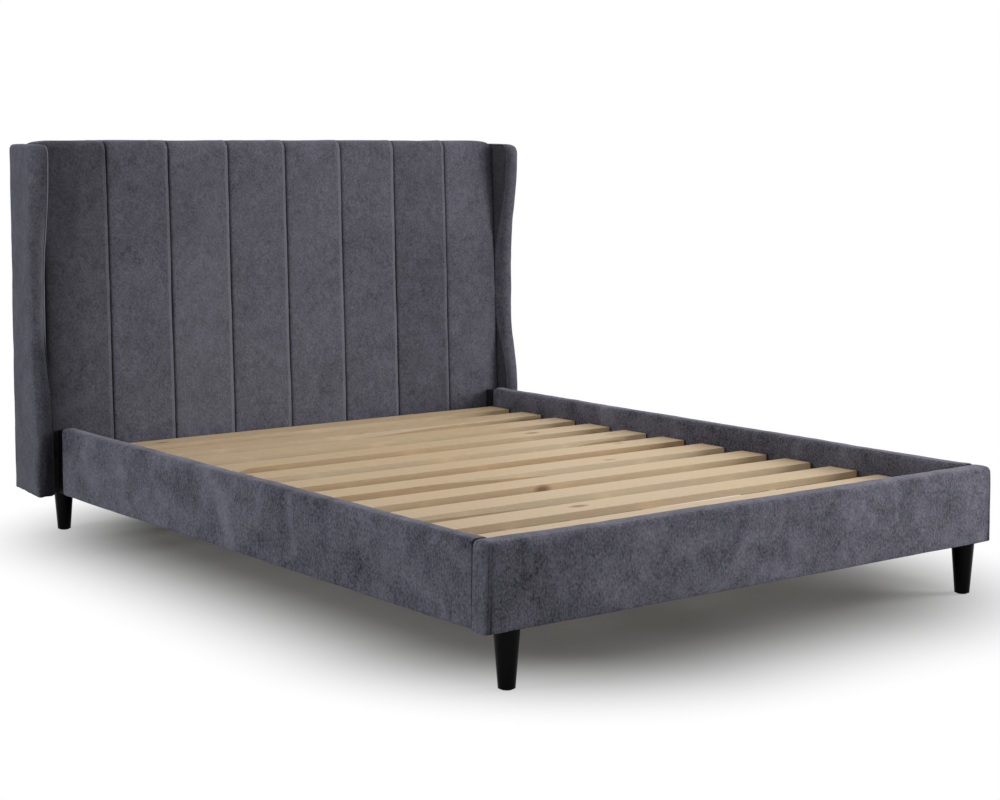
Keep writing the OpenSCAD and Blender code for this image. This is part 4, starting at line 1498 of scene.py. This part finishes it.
@dataclass
class Footboard:
    """The padded footboard, whose flat ends lie flush with the rails' outer faces."""

    sizes: BedSizes
    stations: int = 120
    corner_reach: float = 0.006
    top_reach: float = 0.013
    seam_in: float = 0.0085
    seam_depth: float = 0.0005
    dent_w: float = 0.0030
    flare: float = 0.0035
    flare_reach: float = 0.030
    # Painted shade and light on the front: how much, then the middle and the width along it
    seam_w: float = 0.0024
    seam_dark: Triple = (0.02, 0.45, 1.6)  # at the top, more below, power
    turn_dark: Pair = (0.22, 0.25)  # at the top, and more below
    turn: Pair = (0.009, 0.009)
    dark_patch: Triple = (0.2, 0.15, 0.12)
    light_stretch: Triple = (0.11, 0.2, 0.3)
    darkest: float = 0.9
    front_edge: float = 0.008
    front_fade: float = 0.02

    def brushed(self, along: float) -> float:
        """Return the painted shade near the board's left end and painted light further along."""
        light = rise(along, *self.light_stretch) * (1 - 0.3 * along)
        return hump(along, *self.dark_patch) - light

    def ends(self, points: list[Triple], section: int) -> tuple[list[Triple], Faces]:
        """Close the cover's two flat ends.

        Args:
            points: The cover's points, section by section.
            section: The number of points in a section.

        Returns:
            The points to add after them, and the faces of both ends.
        """
        added, faces, half = [], [], section // 2
        for first in (0, len(points) - section):
            rows = []
            for k in range(half):
                a, b = first + k, first + section - 1 - k
                start = len(points) + len(added)
                for i in range(1, 6):
                    added.append(tuple(Vector(points[a]).lerp(Vector(points[b]), i / 6)))
                rows.append([a, *range(start, start + 5), b])
            for below, above in zip(rows[:-1], rows[1:]):
                faces += [(below[i], below[i + 1], above[i + 1], above[i]) for i in range(6)]
            faces += [(rows[-1][i], rows[-1][i + 1], first + half) for i in range(6)]
        return added, faces

    def build(self) -> list[Piece]:
        """Build the footboard's cover with its end faces.

        Returns:
            The cover.
        """
        s = self.sizes
        board = PaddedBoard(s.foot_y, s.deck_y, s.leg_h, s.rail_top, hem=0.024)
        near = [0, 0.0004, 0.001, 0.002, 0.0035, 0.005, 0.0063, 0.0073, 0.008, 0.0085, 0.009]
        near += [0.0097, 0.0107, 0.012, 0.0145, 0.018, 0.023, 0.03]
        stops = [-s.rail_x + e for e in near]
        stops += between(-s.rail_x + 0.03, s.rail_x - 0.03, self.stations)
        stops += [s.rail_x - e for e in reversed(near)]
        points, painted_shading = [], []
        for x in stops:
            end = s.rail_x - abs(x)
            side_in = round_off(end, self.corner_reach, self.corner_reach * 0.8)
            top_in = round_off(end, self.top_reach, self.top_reach * 0.8)
            past_seam = abs(end - self.seam_in)
            dent = hump(past_seam, self.seam_depth, 0.0, self.dent_w)
            for across, z in board.points(side_in, top_in, 0.0):
                low = 1 - (z - s.leg_h) / (s.rail_top - s.leg_h)
                flare = self.flare * low * max(0.0, 1 - end / self.flare_reach)
                flare = math.copysign(flare, x)
                on_front = across < s.foot_y + 0.012 and z < s.rail_top - self.front_edge
                points.append((x + flare, across + (dent if on_front else 0.0), z))
                # Painted shade at the corner seam and the turn, and painted shade and light along
                # the front
                least, more, power = self.seam_dark
                sewn = hump(past_seam, least + more * low**power, 0.0, self.seam_w)
                turned = hump(end, self.turn_dark[0] + self.turn_dark[1] * low, *self.turn)
                edge = smooth_step((s.rail_top - self.front_edge - z) / self.front_fade)
                nap = sewn + turned + edge * self.brushed(x + s.rail_x)
                painted_shading.append(min(self.darkest, nap) if on_front else 0.0)
        section = len(points) // len(stops)
        added, end_faces = self.ends(points, section)
        painted_shading += [0.0] * len(added)
        faces = loft(len(stops), section, closed=False) + end_faces
        piece = mesh_piece("footboard_cloth", points + added, faces, CRUSHED_VELVET, painted_shading)
        rumple(piece, [(1.5, 160.0), (0.6, 45.0)], 33.9)

        def sewn_at(place: Vector) -> float:
            """Return how firmly the cover is held at a place, also at its two ends."""
            ends = held(s.rail_x - abs(place.x), 0.012, 0.04)
            return max(ends, board.sewn(place.y, place.z))

        swell(piece, sewn_at, 1.6 * MM)
        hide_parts("footboard_cover")
        return [piece]


@dataclass
class Linings:
    """The black cloth: the dust cover on the headboard's back, and the rails' bare ends, whose
    black stands in for the shade beside the wings.
    """

    sizes: BedSizes
    hem: float = 0.018
    hem_t: float = 0.0007
    cloth_t: float = 0.0008
    slack_mm: float = 1.1
    slack_reach: float = 0.05
    staple_in: float = 0.009
    sleeve_r: float = 0.003
    sleeve_t: float = 0.0015
    sleeve_w: float = 0.030

    def dust_cover(self) -> Piece:
        """Build the dust cover, stretched over the frame's back and hemmed all round.

        Returns:
            The dust cover.
        """
        low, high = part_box("headboard_dust_cover")
        edges = [0.0, 0.002, self.hem, self.hem + 0.002]

        def stops(a: float, b: float, count: int) -> list[float]:
            """Return places from one edge to the other, close together at the hems."""
            inner = [a + 0.03 + (b - a - 0.06) * i / count for i in range(count + 1)]
            return [a + e for e in edges] + inner + [b - e for e in reversed(edges)]

        xs, zs = stops(low.x, high.x, 90), stops(low.z, high.z, 56)
        points = []
        for z in zs:
            for x in xs:
                inside = min(x - low.x, high.x - x, z - low.z, high.z - z)
                thick = self.hem_t if inside <= self.hem + 0.0005 else 0.0
                slack = self.slack_mm * MM * noise.noise(Vector((x * 5.0, z * 9.0, 2.0)))
                slack *= min(1.0, inside / self.slack_reach)
                points.append((x, low.y + self.cloth_t + thick + slack, z))
        faces = loft(len(zs), len(xs), closed=False)
        piece = mesh_piece("dust_cloth", points, faces, DUST_CLOTH)
        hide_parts("headboard_dust_cover")
        return piece

    def dust_cover_staples(self) -> Piece:
        """Build the staples along the dust cover's four hems.

        Returns:
            The staples, as one object.
        """
        low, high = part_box("headboard_dust_cover")
        out, across, up = Vector((0, 1, 0)), Vector((1, 0, 0)), Vector((0, 0, 1))
        y, places = low.y + 0.0019, []
        for z in (low.z + self.staple_in, high.z - self.staple_in):
            for i in range(27):
                x = low.x + 0.02 + (high.x - low.x - 0.04) * i / 26
                places.append((Vector((x, y, z)), across, out))
        for x in (low.x + self.staple_in, high.x - self.staple_in):
            places += [(Vector((x, y, z)), up, out) for z in between(low.z, high.z, 16)]
        return staples("dust_cloth_staples", places)

    def rail_end(self, side: Side) -> Piece:
        """Build the lining wrapped round a rail board's bare head end; its black stands in for the
        shade in the gap between the wing and the rail.

        Args:
            side: The rail's side.

        Returns:
            The lining.
        """
        s, r, steps = self.sizes, self.sleeve_r, 12
        low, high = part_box("rail_end_sleeves")
        a, b = s.core_in_x - self.sleeve_t, s.core_out_x + self.sleeve_t
        y0, y1 = low.y - self.sleeve_w, high.y - 0.0004
        top, bottom = high.z, s.leg_h - 0.0014
        section = [(b, bottom + (top - r - bottom) * i / steps) for i in range(steps)]
        section += arc((b - r, top - r), r, 0, 90, 3) + arc((a + r, top - r), r, 90, 90, 3)
        section += [(a, top - r + (bottom - top + r) * i / steps) for i in range(1, steps + 1)]
        points = []
        for y in [y0, *between(y0, y1, steps), y1]:
            for x, z in section:
                crease = 0.0006 * noise.noise(Vector((x * 90, y * 60, z * 30)))
                points.append((side.value * (x + crease), y, z))
        faces = loft(steps + 1, len(section))
        piece = mesh_piece(f"rail_end_shade_lining_{side.word}", points, faces, DUST_CLOTH)
        return piece

    def build(self) -> list[Piece]:
        """Build the linings in the place of their solids.

        Returns:
            The dust cover, its staples and both rail ends' linings.
        """
        pieces = [self.dust_cover(), self.dust_cover_staples()]
        pieces += [self.rail_end(side) for side in Side]
        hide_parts("rail_end_sleeves")
        return pieces


@dataclass
class SlatBase:
    """The straps that space the slats, and their staples."""

    sizes: BedSizes
    strap_x: float = 0.430
    strap_w: float = 0.025
    strap_t: float = 0.0012
    sag: float = 0.0035
    stations: int = 400
    section: tuple[Pair, ...] = (
        (-1.0, 0.5), (-0.94, 0.0), (0.94, 0.0), (1.0, 0.5), (0.94, 1.0), (-0.94, 1.0),
    )

    def slats(self) -> list[Pair]:
        """Return where each slat starts and ends along the bed."""
        boxes = [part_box(slat) for slat in SLATS]
        return [(low.y, high.y) for low, high in boxes]

    def height(self, y: float) -> float:
        """Return the height of the strap's upper side.

        Args:
            y: The place along the bed.

        Returns:
            The slats' underside, or less between two slats, where the strap sags.
        """
        for (_, before), (after, _) in zip(self.slats()[:-1], self.slats()[1:]):
            if before < y < after:
                drop = math.sin(math.pi * (y - before) / (after - before))
                return self.sizes.slat_z - self.sag * drop
        return self.sizes.slat_z

    def strap(self, side: Side) -> Piece:
        """Build a webbing strap stapled under the slats.

        Args:
            side: The strap's side.

        Returns:
            The strap.
        """
        low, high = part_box("slat_straps")
        points = []
        for y in [low.y, *between(low.y, high.y, self.stations), high.y]:
            top = self.height(y) - 0.0001
            for across, down in self.section:
                x = side.value * self.strap_x + across * self.strap_w / 2
                points.append((x, y, top - down * self.strap_t))
        faces = loft(self.stations + 1, len(self.section), capped=True)
        piece = mesh_piece(f"slat_strap_{side.word}", points, faces, WEBBING)
        return piece

    def strap_staples(self) -> Piece:
        """Build two staples through each strap into each slat.

        Returns:
            The staples, as one object.
        """
        under = self.sizes.slat_z - self.strap_t - 0.0003
        places = []
        for side in Side:
            for start, end in self.slats():
                for share in (0.3, 0.7):
                    place = (side.value * self.strap_x, start + (end - start) * share, under)
                    places.append((Vector(place), Vector((1, 0, 0)), Vector((0, 0, -1))))
        return staples("slat_strap_staples", places)

    def build(self) -> list[Piece]:
        """Build the straps in the place of their solid.

        Returns:
            Both straps and their staples.
        """
        straps = [self.strap(side) for side in Side]
        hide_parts("slat_straps")
        return straps + [self.strap_staples()]


@dataclass
class CadDress:
    """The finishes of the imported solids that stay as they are."""

    finishes: dict[str, Finish] = field(
        default_factory=lambda: {
            "headboard_facing_board": HARDBOARD,
            "headboard_bolt_rail": SHADE_BLACK_PINE,
            "headboard_sill": PINE_X,
            "headboard_top_rail": PINE_X,
            "headboard_back_rail": PINE_X,
            "headboard_post": PLYWOOD,
            "headboard_rib": PLYWOOD,
            "wing_core": PLYWOOD,
            "side_rail_core": PINE_Y,
            "footboard_core": PINE_X,
            "slat_ledge": PINE_Y,
            "slat_": PINE_X,
            "centre_beam": PINE_Y,
            "corner_bracket": POWDER_COAT,
            "beam_hangers": POWDER_COAT,
            "centre_leg_plugs": MOULDED_NYLON,
            "centre_leg": POWDER_COAT,
            "leveller_pad": MOULDED_NYLON,
            "leveller_spindle": ZINC_PLATE,
            "frame_bolts": ZINC_PLATE,
            "threaded_inserts": ZINC_PLATE,
            "wood_screws": ZINC_PLATE,
            "leg_bolts": ZINC_PLATE,
            "leg_glides": MOULDED_NYLON,
            "leg_": GLOSS_LACQUER,
        }
    )

    def dress(self, nodes: dict[str, Piece]) -> None:
        """Give each shown solid the finish whose name it starts with, the longest first.

        Args:
            nodes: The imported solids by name.
        """
        names = sorted(self.finishes, key=len, reverse=True)
        for node, solid in nodes.items():
            if solid.hide_render:
                continue
            key = next(n for n in names if node.startswith(n))
            solid.data.materials.clear()
            solid.data.materials.append(self.finishes[key].material())
            LOG.info("%s dressed in %s", node, self.finishes[key].name)


# The studio


@dataclass(frozen=True)
class Softbox:
    """A square area lamp that points at a place on the bed."""

    name: str
    place: Triple
    target: Triple
    size: float
    watts: float
    colour: str = "#ffffff"

    def build(self) -> None:
        """Add the lamp."""
        lamp = bpy.data.lights.new(self.name, "AREA")
        lamp.shape, lamp.size, lamp.energy = "SQUARE", self.size, self.watts
        lamp.color = linear(self.colour)[:3]
        holder = add_object(self.name, lamp)
        holder.location = self.place
        way = Vector(self.target) - Vector(self.place)
        holder.rotation_euler = way.to_track_quat("-Z", "Y").to_euler()


@dataclass
class Studio:
    """A white paper sweep in plain soft light, and the camera of the photograph."""

    lens: float = 70.97
    lens_shift: float = -0.10  # the photograph keeps upright lines nearly parallel
    camera_place: Triple = (-3.1996, -4.3215, 1.1443)
    turn: float = 0.6503
    pitch: float = 0.0799
    dome: float = 0.16
    floor_reach: float = 40.0
    boxes: tuple[Softbox, ...] = (
        Softbox("softbox_left", (-4.2, 0.4, 1.0), (-0.6, 0.2, 0.4), 1.6, 76.0, "#f8fbff"),
        Softbox("softbox_front", (0.6, -5.2, 1.1), (0.2, -0.6, 0.3), 2.0, 45.0, "#fcfcff"),
        Softbox("softbox_right", (3.4, -2.4, 1.4), (0.3, 0.2, 0.6), 1.8, 150.0, "#fcfcff"),
        Softbox("softbox_top", (0.9, 1.2, 3.6), (0.0, 0.0, 0.0), 5.0, 100.0),
    )

    def camera(self) -> None:
        """Add the camera at the photograph's viewing angle."""
        eye = bpy.data.cameras.new("camera")
        eye.lens, eye.sensor_width, eye.sensor_fit = self.lens, 36.0, "HORIZONTAL"
        eye.shift_y = self.lens_shift
        holder = add_object("camera", eye)
        holder.location = self.camera_place
        holder.rotation_euler = (math.pi / 2 - self.pitch, 0.0, -self.turn)
        bpy.context.scene.camera = holder

    def floor(self) -> None:
        """Add the paper floor."""
        mesh = bpy.data.meshes.new("paper_floor")
        r = self.floor_reach
        mesh.from_pydata([(-r, -r, 0), (r, -r, 0), (r, r, 0), (-r, r, 0)], [], [(0, 1, 2, 3)])
        mesh.materials.append(StudioPaper("studio_paper").material())
        add_object("paper_floor", mesh)

    def world(self) -> None:
        """Light the room evenly; the camera sees it as plain white."""
        sky = bpy.data.worlds.new("studio_room")
        sky.use_nodes = True
        sky.node_tree.nodes.clear()
        add = partial(add_node, sky.node_tree)
        light, white = (
            add("ShaderNodeBackground", {"Color": "#ffffff", "Strength": strength})
            for strength in (self.dome, 1.0)
        )
        mixed = add("ShaderNodeMixShader", {0: seen(sky.node_tree), 1: light, 2: white})
        add("ShaderNodeOutputWorld", {"Surface": mixed})
        bpy.context.scene.world = sky

    def build(self) -> None:
        """Set up the camera, the floor, the room's light and the softboxes."""
        self.camera()
        self.floor()
        self.world()
        for box in self.boxes:
            box.build()
        bpy.context.scene.view_settings.view_transform = "Standard"


def main() -> None:
    logging.basicConfig(level=logging.INFO, format="%(name)s: %(message)s")
    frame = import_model()
    sizes = BedSizes()
    Studio().build()
    sides = [part(sizes, side) for side in Side for part in (Wing, SideRail)]
    for part in (HeadboardPad(sizes), *sides, Footboard(sizes), Linings(sizes), SlatBase(sizes)):
        for piece in part.build():
            LOG.info("%s built", piece.name)
    CadDress().dress(frame["nodes"])


if __name__ == "__main__":
    main()
